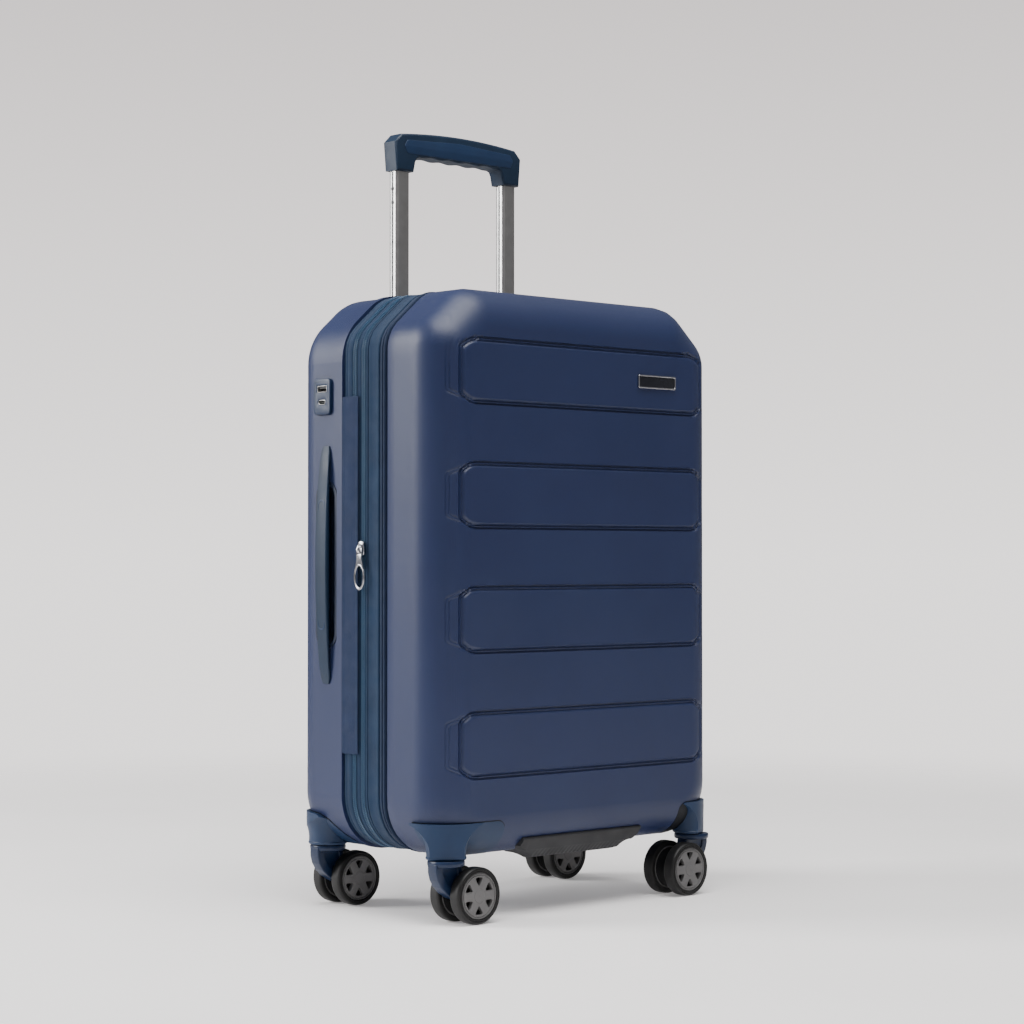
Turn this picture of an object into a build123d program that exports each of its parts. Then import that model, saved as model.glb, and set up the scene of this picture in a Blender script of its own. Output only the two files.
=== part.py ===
from build123d import *
import os
from math import cos, radians, sin

os.makedirs("parts", exist_ok=True)

# Cabin suitcase, millimetres. +Z is up, -Y is the panelled front, +Y the back with the telescopic
# handle, -X the side with the carry handle and the hinge. The origin is on the floor, under the
# middle of the case.

# ---------------------------------------------------------------- driving dimensions
CASE_WIDTH = 356.0
SHELL_BOTTOM = 56.0
SHELL_TOP = 558.0
FRONT_Y = -98.0
BACK_Y = 101.0
WALL = 2.4
CORNER_ACROSS = 46.0
CORNER_DOWN = 40.0
CORNER_SOFTNESS = 34.0
BOTTOM_CORNER = 50.0
FRONT_ROUNDING = 38.0
BACK_ROUNDING = 25.0

# depths of the bands between the two shells, from the back shell forwards
RIM_FRONT = 33.5
RIM_BACK = 41.0
RIM_PROUD = 1.2
MAIN_ZIP = 17.75
EXPANSION_ZIP = 5.5
COIL_HALF = 1.3
COIL_GAP = 0.3
FRONT_BAND_END = -15.8
FRONT_EDGE = -28.0
BAND_OUTER = 1.0
BAND_INNER = 3.0
GUSSET_OUTER = 3.4
GUSSET_INNER = 4.2

# hinge of the two halves, just outside the left side
HINGE_LOW = 143.0
HINGE_HIGH = 464.0

# front panel grooves
GROOVE_TOP = 510.0
GROOVE_PITCH = 54.6
GROOVE_COUNT = 8
GROOVE_WIDTH = 4.4
GROOVE_DEPTH = 1.2
GROOVE_SPAN = 280.0

# casters
WHEEL_RADIUS = 25.0
SWIVEL_X = 156.0
SWIVEL_Y = 82.0
TRAIL = 22.0
TYRE_WIDTH = 12.6
WHEEL_OFFSET = 13.2
AXLE_RADIUS = 2.5
STEM_RADIUS = 4.0
TURRET_RADIUS = 18.0
TURRET_BOTTOM = 57.0
FORK_TOP_RADIUS = 16.5
CASTER_GAP = 0.6
RUNNING_CLEARANCE = 0.08

# telescopic handle
TUBE_X = 68.4
TUBE_Y = 85.0
INNER_TUBE = (16.5, 12.0)
MIDDLE_TUBE = (19.5, 15.0)
OUTER_TUBE = (22.5, 18.0)
TUBE_WALL = 1.2
GRIP_BOTTOM = 684.5
GRIP_TOP = 724.0
GRIP_HALF = 81.0
GRIP_DEPTH = 19.0
GRIP_UNDERSIDE = 699.0
INNER_TUBE_LENGTH = 335.0
MIDDLE_TUBE_FOOT = 180.0
OUTER_TUBE_FOOT = 76.0
POCKET_FLOOR = 516.0
POCKET_HALF = 83.5
POCKET_DEPTH = 22.0
BUTTON_TRAVEL = 3.5

# carry handles
SIDE_HANDLE_Y = 56.6
SIDE_HANDLE_Z = 312.5
SIDE_HANDLE_HALF = 107.5
TOP_HANDLE_Y = 56.6
TOP_HANDLE_HALF = 84.0
STRAP_WIDTH = 16.0
STRAP_THICKNESS = 4.0
STRAP_BOW = 7.0
CUP_DEPTH = 15.0
CUP_WIDTH = 24.0

# zip sliders
SLIDER_LENGTH = 14.0
PULL_LENGTH = 37.0
SLIDER_GAP = 0.35
SLIDER_THICKNESS = 2.6
SLIDER_TOP = SLIDER_GAP + SLIDER_THICKNESS
BRIDGE_HEIGHT = 3.4
MAIN_LEFT_X = 8.0
MAIN_RIGHT_X = 47.0
PULL_SWING = 16.0
EXPANSION_SLIDER_Z = 327.0

# small parts
BINDING_OUTER = 1.6
PIPING_LOW = -25.0
PIPING_WIDTH = 3.0
PIPING_PROUD = 0.3
CLOTH_PROUD = 0.3
CLOTH_THICKNESS = 1.0
USB_MIDDLE = 61.0
USB_A_Z = 472.0
USB_C_Z = 460.0
USB_A = (12.5, 5.0)
USB_C = (9.0, 3.3)
SOCKET_DEPTH = 13.0
BADGE_AT = (91.5, 483.0)
BADGE_SIZE = (50.0, 12.5)
BADGE_THICKNESS = 2.0
GRIP_PAD_MIDDLE = 2.0
GRIP_PAD_HALF = 75.0
LINING_BACK = 70.5
LINING_OUTER = 2.7
LINING_INNER = 3.5
STRAPS_Y = 25.0
STRAPS_ANGLE = 52.0
STRAPS_WIDTH = 22.0
GUARD_PROUD = 1.6
GUARD_SIDE_PROUD = 3.4
GUARD_TOP = 88.0
GUARD_FRONT_EDGE = 58.0
STEM_TOP = 62.5
AXLE_HALF = 18.6
STRIP_HALF = 9.4
WEB_HALF = 5.5
HUB_RADIUS = 20.5
HUB_HOLES = 6
HUB_HOLE_RING = 13.4
HUB_HOLE_LENGTH = 8.0
HUB_HOLE_WIDTH = 5.6
YOKE_TOP = 712.0
YOKE_HEIGHT = 4.0
BUTTON_LENGTH = 34.0
BUTTON_WIDTH = 9.0
BUTTON_PROUD = 0.8
ROD_LENGTH = 330.0
SPRING_RADIUS = 2.0
SPRING_PITCH = 1.6

SHELL_MIDDLE = (SHELL_TOP + SHELL_BOTTOM) / 2
HALF_WIDTH = CASE_WIDTH / 2
ROUNDING_STEPS = (20, 40, 60, 78, 90)


def save(piece, name):
    """Labels a finished piece and writes it to its own file."""
    piece.part.label = name
    export_step(piece.part, f"parts/{name}.step")


# ---------------------------------------------------------------- shapes that repeat
def case_face(y, inset):
    """The outline of the case at depth y, drawn in by inset: sloped top corners, round bottom ones."""
    slope = (CORNER_ACROSS**2 + CORNER_DOWN**2) ** 0.5
    shrink = 1 - inset * (CORNER_ACROSS + CORNER_DOWN - slope) / (CORNER_ACROSS * CORNER_DOWN)
    wide = HALF_WIDTH - inset
    top = SHELL_TOP - inset
    bottom = SHELL_BOTTOM + inset
    right_top = [(wide, top - CORNER_DOWN * shrink), (wide - CORNER_ACROSS * shrink, top)]
    left_top = [(-x, z) for x, z in reversed(right_top)]
    with BuildSketch(Plane.XZ.offset(-y)) as outline:
        with BuildLine():
            Polyline((wide, bottom), *right_top, *left_top, (-wide, bottom), close=True)
        make_face()
        feet = outline.vertices().group_by(Axis.Z)[0]
        shoulders = outline.vertices() - feet
        fillet(shoulders, max(CORNER_SOFTNESS - 0.75 * inset, 4.0))
        fillet(outline.vertices().group_by(Axis.Z)[0], BOTTOM_CORNER - inset)
    return outline.sketch


def case_half(edge_y, face_y, rounding, inset):
    """A solid half of the case from its open edge to its outer face, drawn in by inset."""
    way = 1 if face_y > edge_y else -1
    radius = rounding - inset
    straight_end = face_y - way * rounding
    sections = [case_face(straight_end, inset)]
    for angle in ROUNDING_STEPS:
        depth = straight_end + way * radius * sin(radians(angle))
        sections.append(case_face(depth, inset + radius * (1 - cos(radians(angle)))))
    with BuildPart() as half:
        extrude(case_face(edge_y, inset), amount=abs(straight_end - edge_y), dir=(0, way, 0))
        loft(sections=sections)
    return half.part


def band(y_low, y_high, outer, inner):
    """A ring that follows the case's outline, between two depths and two insets."""
    with BuildPart() as ring:
        extrude(case_face(y_low, outer), amount=y_high - y_low, dir=(0, 1, 0))
        extrude(case_face(y_low, inner), amount=y_high - y_low, dir=(0, 1, 0), mode=Mode.SUBTRACT)
    return ring.part


def block(low, high):
    """A box between two corners, kept out of the part being built."""
    size = [b - a for a, b in zip(low, high)]
    middle = [(a + b) / 2 for a, b in zip(low, high)]
    return Pos(*middle) * Box(*size, mode=Mode.PRIVATE)


BACK_OUTER = case_half(RIM_FRONT, BACK_Y, BACK_ROUNDING, 0)
BACK_INNER = case_half(RIM_FRONT, BACK_Y, BACK_ROUNDING, WALL)
FRONT_OUTER = case_half(FRONT_EDGE, FRONT_Y, FRONT_ROUNDING, 0)
FRONT_INNER = case_half(FRONT_EDGE, FRONT_Y, FRONT_ROUNDING, WALL)

# The cup and the strap of a carry handle are drawn lying along local X, with local Z pointing
# away from the case, and then stood on the side or the top of the back shell.
SIDE_HANDLE = Plane((-HALF_WIDTH, SIDE_HANDLE_Y, SIDE_HANDLE_Z), x_dir=(0, 0, 1), z_dir=(-1, 0, 0))
TOP_HANDLE = Plane((0, TOP_HANDLE_Y, SHELL_TOP), x_dir=(1, 0, 0), z_dir=(0, 0, 1))
HANDLES = {"side": (SIDE_HANDLE, SIDE_HANDLE_HALF), "top": (TOP_HANDLE, TOP_HANDLE_HALF)}
TAB_LENGTH = 6.0
TAB_WIDTH = 10.0
TAB_DROP = 18.0
TAB_SLACK = 0.4


def cup_half(half):
    return half * 0.68


# ---------------------------------------------------------------- back shell and what it carries
POCKET_OUTER = block(
    (-POCKET_HALF - 2, TUBE_Y - POCKET_DEPTH / 2 - 2, POCKET_FLOOR - 3),
    (POCKET_HALF + 2, TUBE_Y + POCKET_DEPTH / 2 + 2, SHELL_TOP + 20),
)
USB_LOW = (-HALF_WIDTH - 3.0, 49.0, 448.6)
USB_HIGH = (-HALF_WIDTH + 12.0, 73.0, 481.5)

with BuildPart() as back_shell:
    add(BACK_OUTER)
    extrude(case_face(RIM_FRONT, -RIM_PROUD), amount=RIM_BACK - RIM_FRONT, dir=(0, 1, 0))
    add(BACK_INNER, mode=Mode.SUBTRACT)
    add(POCKET_OUTER, mode=Mode.SUBTRACT)
    add(
        block(
            (USB_LOW[0], USB_LOW[1] + 2, USB_LOW[2] + 2),
            (USB_HIGH[0], USB_HIGH[1] - 2, USB_HIGH[2] - 2),
        ),
        mode=Mode.SUBTRACT,
    )
    for plane, half in HANDLES.values():
        with BuildSketch(plane):
            SlotOverall(2 * cup_half(half) + 4, CUP_WIDTH + 4)
            with Locations((half - 8, 0), (8 - half, 0)):
                Rectangle(TAB_LENGTH + 2 * TAB_SLACK, TAB_WIDTH + 2 * TAB_SLACK)
        extrude(amount=10, both=True, mode=Mode.SUBTRACT)
save(back_shell, "back_shell")

with BuildPart() as handle_pocket:
    add(POCKET_OUTER)
    add(
        block(
            (-POCKET_HALF, TUBE_Y - POCKET_DEPTH / 2, POCKET_FLOOR),
            (POCKET_HALF, TUBE_Y + POCKET_DEPTH / 2, SHELL_TOP + 20),
        ),
        mode=Mode.SUBTRACT,
    )
    add(case_half(RIM_FRONT, BACK_Y, BACK_ROUNDING, -1.0), mode=Mode.INTERSECT)
    with BuildSketch(Plane.XY.offset(POCKET_FLOOR)):
        with Locations((-TUBE_X, TUBE_Y), (TUBE_X, TUBE_Y)):
            RectangleRounded(MIDDLE_TUBE[0] + 0.6, MIDDLE_TUBE[1] + 0.6, 3.3)
    extrude(amount=-10, mode=Mode.SUBTRACT)
save(handle_pocket, "handle_pocket")

for name, (plane, half) in HANDLES.items():
    reach = cup_half(half)
    with BuildPart() as cup:
        with BuildSketch(plane.offset(0.8)):
            SlotOverall(2 * reach + 6, CUP_WIDTH + 6)
        extrude(amount=-0.7)
        with BuildSketch(plane.offset(0.5)):
            SlotOverall(2 * reach + 3.4, CUP_WIDTH + 3.4)
        extrude(amount=-CUP_DEPTH - 0.5)
        with BuildSketch(plane.offset(1)):
            SlotOverall(2 * reach, CUP_WIDTH)
        extrude(amount=-CUP_DEPTH + 1)
        with BuildSketch(plane.offset(1)):
            SlotOverall(2 * reach, CUP_WIDTH)
        extrude(amount=-CUP_DEPTH, mode=Mode.SUBTRACT)
    save(cup, f"{name}_handle_cup")

    across = Plane(plane.origin, x_dir=plane.x_dir, z_dir=plane.y_dir)
    with BuildPart() as strap:
        with BuildSketch(across):
            with BuildLine():
                outer = ThreePointArc((-half, -1.2), (0, -STRAP_BOW - 1), (half, -1.2))
                inner = ThreePointArc((half, -0.4), (0, STRAP_THICKNESS - STRAP_BOW - 1), (-half, -0.4))
                Line(outer @ 1, inner @ 0)
                Line(inner @ 1, outer @ 0)
            make_face()
        extrude(amount=STRAP_WIDTH / 2, both=True)
        with BuildSketch(across):
            with Locations((half - 8, TAB_DROP / 2 - 1), (8 - half, TAB_DROP / 2 - 1)):
                Rectangle(TAB_LENGTH, TAB_DROP)
        extrude(amount=TAB_WIDTH / 2, both=True)
    save(strap, f"{name}_handle")

# ---------------------------------------------------------------- charging port
with BuildPart() as usb_housing:
    add(block(USB_LOW, (-HALF_WIDTH - 0.05, USB_HIGH[1], USB_HIGH[2])))
    fillet(usb_housing.edges().filter_by(Axis.X), 4)
    fillet(usb_housing.faces().sort_by(Axis.X)[0].edges(), 1.2)
    add(
        block(
            (-HALF_WIDTH - 0.05, USB_LOW[1] + 2.3, USB_LOW[2] + 2.3),
            (USB_HIGH[0], USB_HIGH[1] - 2.3, USB_HIGH[2] - 2.3),
        )
    )
    with BuildSketch(Plane.YZ.offset(USB_LOW[0])):
        with Locations((USB_MIDDLE, USB_A_Z)):
            Rectangle(USB_A[0] + 1.2, USB_A[1] + 1.2)
        with Locations((USB_MIDDLE, USB_C_Z)):
            SlotOverall(USB_C[0] + 1.2, USB_C[1] + 1.2)
    extrude(amount=SOCKET_DEPTH, mode=Mode.SUBTRACT)
save(usb_housing, "usb_housing")

with BuildPart() as usb_sockets:
    with BuildSketch(Plane.YZ.offset(USB_LOW[0] + 0.4)):
        with Locations((USB_MIDDLE, USB_A_Z)):
            Rectangle(USB_A[0] + 1.0, USB_A[1] + 1.0)
        with Locations((USB_MIDDLE, USB_C_Z)):
            SlotOverall(USB_C[0] + 1.0, USB_C[1] + 1.0)
    extrude(amount=SOCKET_DEPTH - 0.6)
    with BuildSketch(Plane.YZ.offset(USB_LOW[0] + 0.4)):
        with Locations((USB_MIDDLE, USB_A_Z)):
            Rectangle(*USB_A)
        with Locations((USB_MIDDLE, USB_C_Z)):
            SlotOverall(*USB_C)
    extrude(amount=SOCKET_DEPTH - 2, mode=Mode.SUBTRACT)
save(usb_sockets, "usb_sockets")

# ---------------------------------------------------------------- zips and bands between the halves
COIL_NEAR = COIL_GAP / 2
COIL_FAR = COIL_NEAR + COIL_HALF
COIL_OUTER = 0.2

with BuildPart() as main_zip_rear:
    add(band(MAIN_ZIP + COIL_NEAR, MAIN_ZIP + COIL_FAR, COIL_OUTER, BAND_INNER))
    add(band(MAIN_ZIP + COIL_FAR, RIM_FRONT, BAND_OUTER, BAND_INNER))
save(main_zip_rear, "main_zip_rear")

with BuildPart() as zip_band:
    add(band(MAIN_ZIP - COIL_FAR, MAIN_ZIP - COIL_NEAR, COIL_OUTER, BAND_INNER))
    add(band(EXPANSION_ZIP + COIL_FAR, MAIN_ZIP - COIL_FAR, BAND_OUTER, BAND_INNER))
    add(band(EXPANSION_ZIP + COIL_NEAR, EXPANSION_ZIP + COIL_FAR, COIL_OUTER, BAND_INNER))
save(zip_band, "zip_band")

with BuildPart() as gusset:
    add(band(EXPANSION_ZIP + COIL_FAR, MAIN_ZIP - COIL_FAR, BAND_INNER, GUSSET_INNER))
    add(band(FRONT_EDGE - 3, EXPANSION_ZIP + COIL_FAR, GUSSET_OUTER, GUSSET_INNER))
save(gusset, "expansion_gusset")

with BuildPart() as expansion_band:
    add(band(EXPANSION_ZIP - COIL_FAR, EXPANSION_ZIP - COIL_NEAR, COIL_OUTER, BAND_INNER))
    add(band(FRONT_BAND_END, EXPANSION_ZIP - COIL_FAR, BAND_OUTER, BAND_INNER))
save(expansion_band, "expansion_band")

with BuildPart() as front_binding:
    add(band(FRONT_EDGE, FRONT_BAND_END, BINDING_OUTER, BAND_INNER))
    add(band(PIPING_LOW, PIPING_LOW + PIPING_WIDTH, -PIPING_PROUD, BAND_INNER))
save(front_binding, "front_binding")


def hinge_cloth(y_low, y_high):
    """A flat strip of cloth lying over the zip on the hinge side."""
    return block(
        (-HALF_WIDTH - CLOTH_PROUD - CLOTH_THICKNESS, y_low, HINGE_LOW),
        (-HALF_WIDTH - CLOTH_PROUD, y_high, HINGE_HIGH),
    )


with BuildPart() as hinge_cloth_rear:
    add(hinge_cloth(MAIN_ZIP + COIL_NEAR, RIM_FRONT - 0.3))
save(hinge_cloth_rear, "hinge_cloth_rear")

with BuildPart() as hinge_cloth_front:
    add(hinge_cloth(EXPANSION_ZIP + 5.3, MAIN_ZIP - COIL_NEAR))
save(hinge_cloth_front, "hinge_cloth_front")

# ---------------------------------------------------------------- front shell and its trim
with BuildPart() as front_shell:
    add(FRONT_OUTER)
    add(FRONT_INNER, mode=Mode.SUBTRACT)
    with BuildSketch(Plane.XZ.offset(-FRONT_Y)):
        for step in range(GROOVE_COUNT):
            with Locations((0, GROOVE_TOP - step * GROOVE_PITCH)):
                SlotOverall(GROOVE_SPAN, GROOVE_WIDTH)
    extrude(amount=-GROOVE_DEPTH, mode=Mode.SUBTRACT)
save(front_shell, "front_shell")

with BuildPart() as badge:
    with BuildSketch(Plane.XZ.offset(-FRONT_Y)):
        with Locations(BADGE_AT):
            RectangleRounded(*BADGE_SIZE, 1.2)
    extrude(amount=BADGE_THICKNESS)
    with BuildSketch(Plane.XZ.offset(-FRONT_Y + BADGE_THICKNESS)):
        with Locations(BADGE_AT):
            RectangleRounded(BADGE_SIZE[0] - 2.4, BADGE_SIZE[1] - 2.4, 0.6)
    extrude(amount=-0.8, mode=Mode.SUBTRACT)
save(badge, "badge")

with BuildPart() as bottom_grip:
    with BuildSketch(Plane.YZ.offset(GRIP_PAD_MIDDLE)):
        with BuildLine():
            Polyline((-93, 70), (-87.5, 58), (-79, 50), (-68, 48), (-50, 53), (-44, 60), (-60, 72), close=True)
        make_face()
    extrude(amount=GRIP_PAD_HALF, both=True)
    chamfer(bottom_grip.faces().sort_by(Axis.Z)[0].edges().filter_by(Axis.Y, reverse=True), 0.6)
    for side in (-1, 1):
        with BuildSketch(Plane.XZ):
            with BuildLine():
                end = GRIP_PAD_MIDDLE + side * GRIP_PAD_HALF
                Polyline((end - side * 30, 45), (end, 62), (end + side * 5, 45), close=True)
            make_face()
        extrude(amount=120, mode=Mode.SUBTRACT)
    add(FRONT_OUTER, mode=Mode.SUBTRACT)
save(bottom_grip, "bottom_grip")

# ---------------------------------------------------------------- lining and packing straps
with BuildPart() as back_lining:
    add(band(RIM_FRONT + 0.5, LINING_BACK, LINING_OUTER, LINING_INNER))
    extrude(case_face(LINING_BACK, LINING_OUTER), amount=LINING_INNER - LINING_OUTER, dir=(0, 1, 0))
    add(
        block((-HALF_WIDTH, RIM_BACK, SIDE_HANDLE_Z - 112), (-HALF_WIDTH + 20, 80, SIDE_HANDLE_Z + 112)),
        mode=Mode.SUBTRACT,
    )
    add(
        block((-HALF_WIDTH, 47, USB_LOW[2] - 2), (USB_HIGH[0] + 1, 80, USB_HIGH[2] + 2)),
        mode=Mode.SUBTRACT,
    )
    add(
        block((-TOP_HANDLE_HALF - 4, RIM_BACK, SHELL_TOP - 21), (TOP_HANDLE_HALF + 4, 80, SHELL_TOP)),
        mode=Mode.SUBTRACT,
    )
save(back_lining, "back_lining")

with BuildPart() as front_lining:
    add(case_half(FRONT_EDGE - 5, FRONT_Y, FRONT_ROUNDING, LINING_OUTER))
    add(case_half(FRONT_EDGE - 5, FRONT_Y, FRONT_ROUNDING, LINING_INNER), mode=Mode.SUBTRACT)
save(front_lining, "front_lining")

with BuildPart() as packing_straps:
    for slope in (-1, 1):
        with BuildSketch(Plane.XZ.offset(-STRAPS_Y)):
            with Locations(Location((0, SHELL_MIDDLE), slope * STRAPS_ANGLE)):
                Rectangle(600, STRAPS_WIDTH)
        extrude(amount=1.2)
    add(
        block((-25, STRAPS_Y - 5, SHELL_MIDDLE - 24), (25, STRAPS_Y + 5, SHELL_MIDDLE + 24)),
        mode=Mode.SUBTRACT,
    )
    extrude(case_face(STRAPS_Y - 5, BAND_INNER + 0.3), amount=10, dir=(0, 1, 0), mode=Mode.INTERSECT)
    add(block((-24.8, STRAPS_Y - 4, SHELL_MIDDLE - 23.8), (24.8, STRAPS_Y + 2, SHELL_MIDDLE + 23.8)))
save(packing_straps, "packing_straps")


# ---------------------------------------------------------------- corner guards with caster sockets
def guard(side, end, reach):
    """A corner cover round a foot of the case, with the socket of a caster. end is 1 at the back."""
    rear = end > 0
    body = BACK_OUTER if rear else FRONT_OUTER
    face = BACK_Y if rear else GUARD_PROUD - FRONT_Y
    edge = RIM_BACK + 0.4 if rear else GUARD_FRONT_EDGE
    rounding = (BACK_ROUNDING if rear else FRONT_ROUNDING) + 2
    outer = HALF_WIDTH + GUARD_SIDE_PROUD
    with BuildPart() as cover:
        with BuildSketch(Plane.XY.offset(TURRET_BOTTOM)) as plan:
            with BuildLine():
                Polyline(
                    (side * reach, end * edge), (side * outer, end * edge), (side * outer, end * face),
                    (side * reach, end * face), close=True,
                )
            make_face()
            fillet(plan.vertices().sort_by_distance((side * outer, end * face, TURRET_BOTTOM))[0], rounding)
        extrude(amount=GUARD_TOP - TURRET_BOTTOM)
        crown = cover.faces().sort_by(Axis.Z)[-1]
        fillet(crown.edges().filter_by(Axis.Y).sort_by(lambda edge: side * edge.center().X)[0], 9)
        if rear:
            with BuildSketch(Plane.YZ):
                with BuildLine():
                    Polyline((110, 0), (110, 200), (76, 88), (62, 83), (50, 74), (40, 57), (40, 0), close=True)
                make_face()
            extrude(amount=200, both=True, mode=Mode.INTERSECT)
        with BuildSketch(Plane.XY.offset(TURRET_BOTTOM)):
            with Locations((side * SWIVEL_X, end * SWIVEL_Y)):
                Circle(TURRET_RADIUS)
        extrude(amount=30)
        add(body, mode=Mode.SUBTRACT)
        with BuildSketch(Plane.XY.offset(TURRET_BOTTOM)):
            with Locations((side * SWIVEL_X, end * SWIVEL_Y)):
                Circle(STEM_RADIUS + RUNNING_CLEARANCE)
        extrude(amount=STEM_TOP + 1 - TURRET_BOTTOM, mode=Mode.SUBTRACT)
    return cover


save(guard(-1, 1, 118), "rear_left_guard")
save(guard(1, 1, 118), "rear_right_guard")
save(guard(-1, -1, 100), "front_left_guard")
save(guard(1, -1, 124), "front_right_guard")

# ---------------------------------------------------------------- casters
CASTERS = {
    "front_left": (-SWIVEL_X, -SWIVEL_Y, 1),
    "front_right": (SWIVEL_X, -SWIVEL_Y, -1),
    "rear_left": (-SWIVEL_X, SWIVEL_Y, 1),
    "rear_right": (SWIVEL_X, SWIVEL_Y, -1),
}
FORK_TOP = TURRET_BOTTOM - CASTER_GAP


def fork(x, y, trail):
    """The swivelling fork: a turntable, a curved leading strip and a web down to the axle."""
    axle = (x + trail * TRAIL, WHEEL_RADIUS)

    def at(forward, z):
        return (x + trail * forward, z)

    with BuildPart() as piece:
        with BuildSketch(Plane.XY.offset(FORK_TOP - 5.5)):
            with Locations((x, y)):
                Circle(FORK_TOP_RADIUS)
        extrude(amount=5.5)
        with BuildSketch(Plane.XZ.offset(-y)):
            with BuildLine():
                leading = ThreePointArc(at(-13.4, 51), at(-9.5, 35), at(5, 21))
                trailing = ThreePointArc(at(7, 24.5), at(-6, 37), at(-9.6, 51))
                Line(leading @ 1, trailing @ 0)
                Line(trailing @ 1, leading @ 0)
            make_face()
        extrude(amount=STRIP_HALF, both=True)
        with BuildSketch(Plane.YZ.offset(x)):
            with BuildLine():
                Polyline(
                    (y - 20, FORK_TOP), (y - STRIP_HALF, 50), (y - WEB_HALF, 30), (y - WEB_HALF, 10),
                    (y + WEB_HALF, 10), (y + WEB_HALF, 30), (y + STRIP_HALF, 50), (y + 20, FORK_TOP),
                    close=True,
                )
            make_face()
        extrude(amount=60, both=True, mode=Mode.INTERSECT)
        with BuildSketch(Plane.XZ.offset(-y)):
            with BuildLine():
                Polyline(
                    at(-9.6, 51), at(-7, 37), at(6, 24), at(17, 20.2), at(22, 19), at(27, 22),
                    at(28, 28), at(20, 37), at(13, 44), at(11, 51), close=True,
                )
            make_face()
        extrude(amount=WEB_HALF, both=True)
        with BuildSketch(Plane.XZ.offset(-y)):
            with Locations(axle):
                Circle(AXLE_RADIUS + 0.02)
        extrude(amount=30, both=True, mode=Mode.SUBTRACT)
        with BuildSketch(Plane.XY.offset(FORK_TOP - 8)):
            with Locations((x, y)):
                Circle(STEM_RADIUS + 0.02)
        extrude(amount=20, mode=Mode.SUBTRACT)
        with BuildSketch(Plane.XY.offset(FORK_TOP - 7.8)):
            with Locations((x, y)):
                Circle(STEM_RADIUS)
        extrude(amount=STEM_TOP - FORK_TOP + 7.8)
        with BuildSketch(Plane.XZ.offset(-y)):
            with Locations(axle):
                Circle(AXLE_RADIUS)
        extrude(amount=AXLE_HALF, both=True)
    return piece


def wheel_disc(x, y, radius, width, outward):
    """A plain disc on a caster's axle, from its inner face outwards."""
    with BuildPart() as disc:
        with BuildSketch(Plane((x, y, WHEEL_RADIUS), x_dir=(1, 0, 0), z_dir=(0, outward, 0))):
            Circle(radius)
        extrude(amount=width)
    return disc


for corner, (x, y, trail) in CASTERS.items():
    save(fork(x, y, trail), f"{corner}_fork")
    axle_x = x + trail * TRAIL
    for number, outward in ((1, -1), (2, 1)):
        inner_face = y + outward * (WHEEL_OFFSET - TYRE_WIDTH / 2)
        outer_face = inner_face + outward * TYRE_WIDTH
        face = Plane((axle_x, outer_face, WHEEL_RADIUS), x_dir=(1, 0, 0), z_dir=(0, outward, 0))

        with BuildPart() as tyre:
            add(wheel_disc(axle_x, inner_face, WHEEL_RADIUS, TYRE_WIDTH, outward).part)
            fillet(tyre.edges(), 2.4)
            with BuildSketch(face):
                Circle(HUB_RADIUS)
            extrude(amount=-TYRE_WIDTH, mode=Mode.SUBTRACT)
        save(tyre, f"{corner}_tyre_{number}")

        with BuildPart() as hub:
            add(wheel_disc(axle_x, inner_face, HUB_RADIUS, TYRE_WIDTH - 0.6, outward).part)
            with BuildSketch(face):
                Circle(HUB_RADIUS - 2)
            extrude(amount=-1.6, mode=Mode.SUBTRACT)
            with BuildSketch(face.offset(-0.6)):
                Circle(HUB_RADIUS - 2.4)
            extrude(amount=-1.2)
            with BuildSketch(face):
                with PolarLocations(HUB_HOLE_RING, HUB_HOLES, start_angle=30):
                    SlotOverall(HUB_HOLE_LENGTH, HUB_HOLE_WIDTH)
            extrude(amount=-TYRE_WIDTH, mode=Mode.SUBTRACT)
            with BuildSketch(Plane((axle_x, inner_face, WHEEL_RADIUS), x_dir=(1, 0, 0), z_dir=(0, outward, 0))):
                Circle(AXLE_RADIUS + RUNNING_CLEARANCE)
            extrude(amount=AXLE_HALF - WHEEL_OFFSET + TYRE_WIDTH / 2 + 0.2, mode=Mode.SUBTRACT)
        save(hub, f"{corner}_hub_{number}")


# ---------------------------------------------------------------- telescopic handle
def tube_pair(size, foot, top, wall):
    """Two rounded rectangular tubes, one on each side of the case."""
    with BuildPart() as pair:
        with BuildSketch(Plane.XY.offset(foot)):
            with Locations((-TUBE_X, TUBE_Y), (TUBE_X, TUBE_Y)):
                RectangleRounded(*size, 3)
                RectangleRounded(size[0] - 2 * wall, size[1] - 2 * wall, 1.8, mode=Mode.SUBTRACT)
        extrude(amount=top - foot)
    return pair


OUTER_TUBE_TOP = POCKET_FLOOR - 3
MIDDLE_TUBE_TOP = POCKET_FLOOR + 3
INNER_TUBE_TOP = GRIP_BOTTOM + 12

outer_tubes = tube_pair(OUTER_TUBE, OUTER_TUBE_FOOT, OUTER_TUBE_TOP, TUBE_WALL)
save(outer_tubes, "outer_tubes")

with BuildPart() as tube_brackets:
    for side in (-1, 1):
        add(
            block(
                (side * TUBE_X - 20, TUBE_Y - 11.5, SHELL_BOTTOM),
                (side * TUBE_X + 20, TUBE_Y + 20, OUTER_TUBE_FOOT + 14),
            )
        )
    add(case_half(RIM_BACK, BACK_Y, BACK_ROUNDING, WALL + 0.1), mode=Mode.INTERSECT)
    with BuildSketch(Plane.XY.offset(OUTER_TUBE_FOOT)):
        with Locations((-TUBE_X, TUBE_Y), (TUBE_X, TUBE_Y)):
            RectangleRounded(OUTER_TUBE[0] + 0.1, OUTER_TUBE[1] + 0.1, 3)
    extrude(amount=40, mode=Mode.SUBTRACT)
save(tube_brackets, "tube_brackets")

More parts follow.
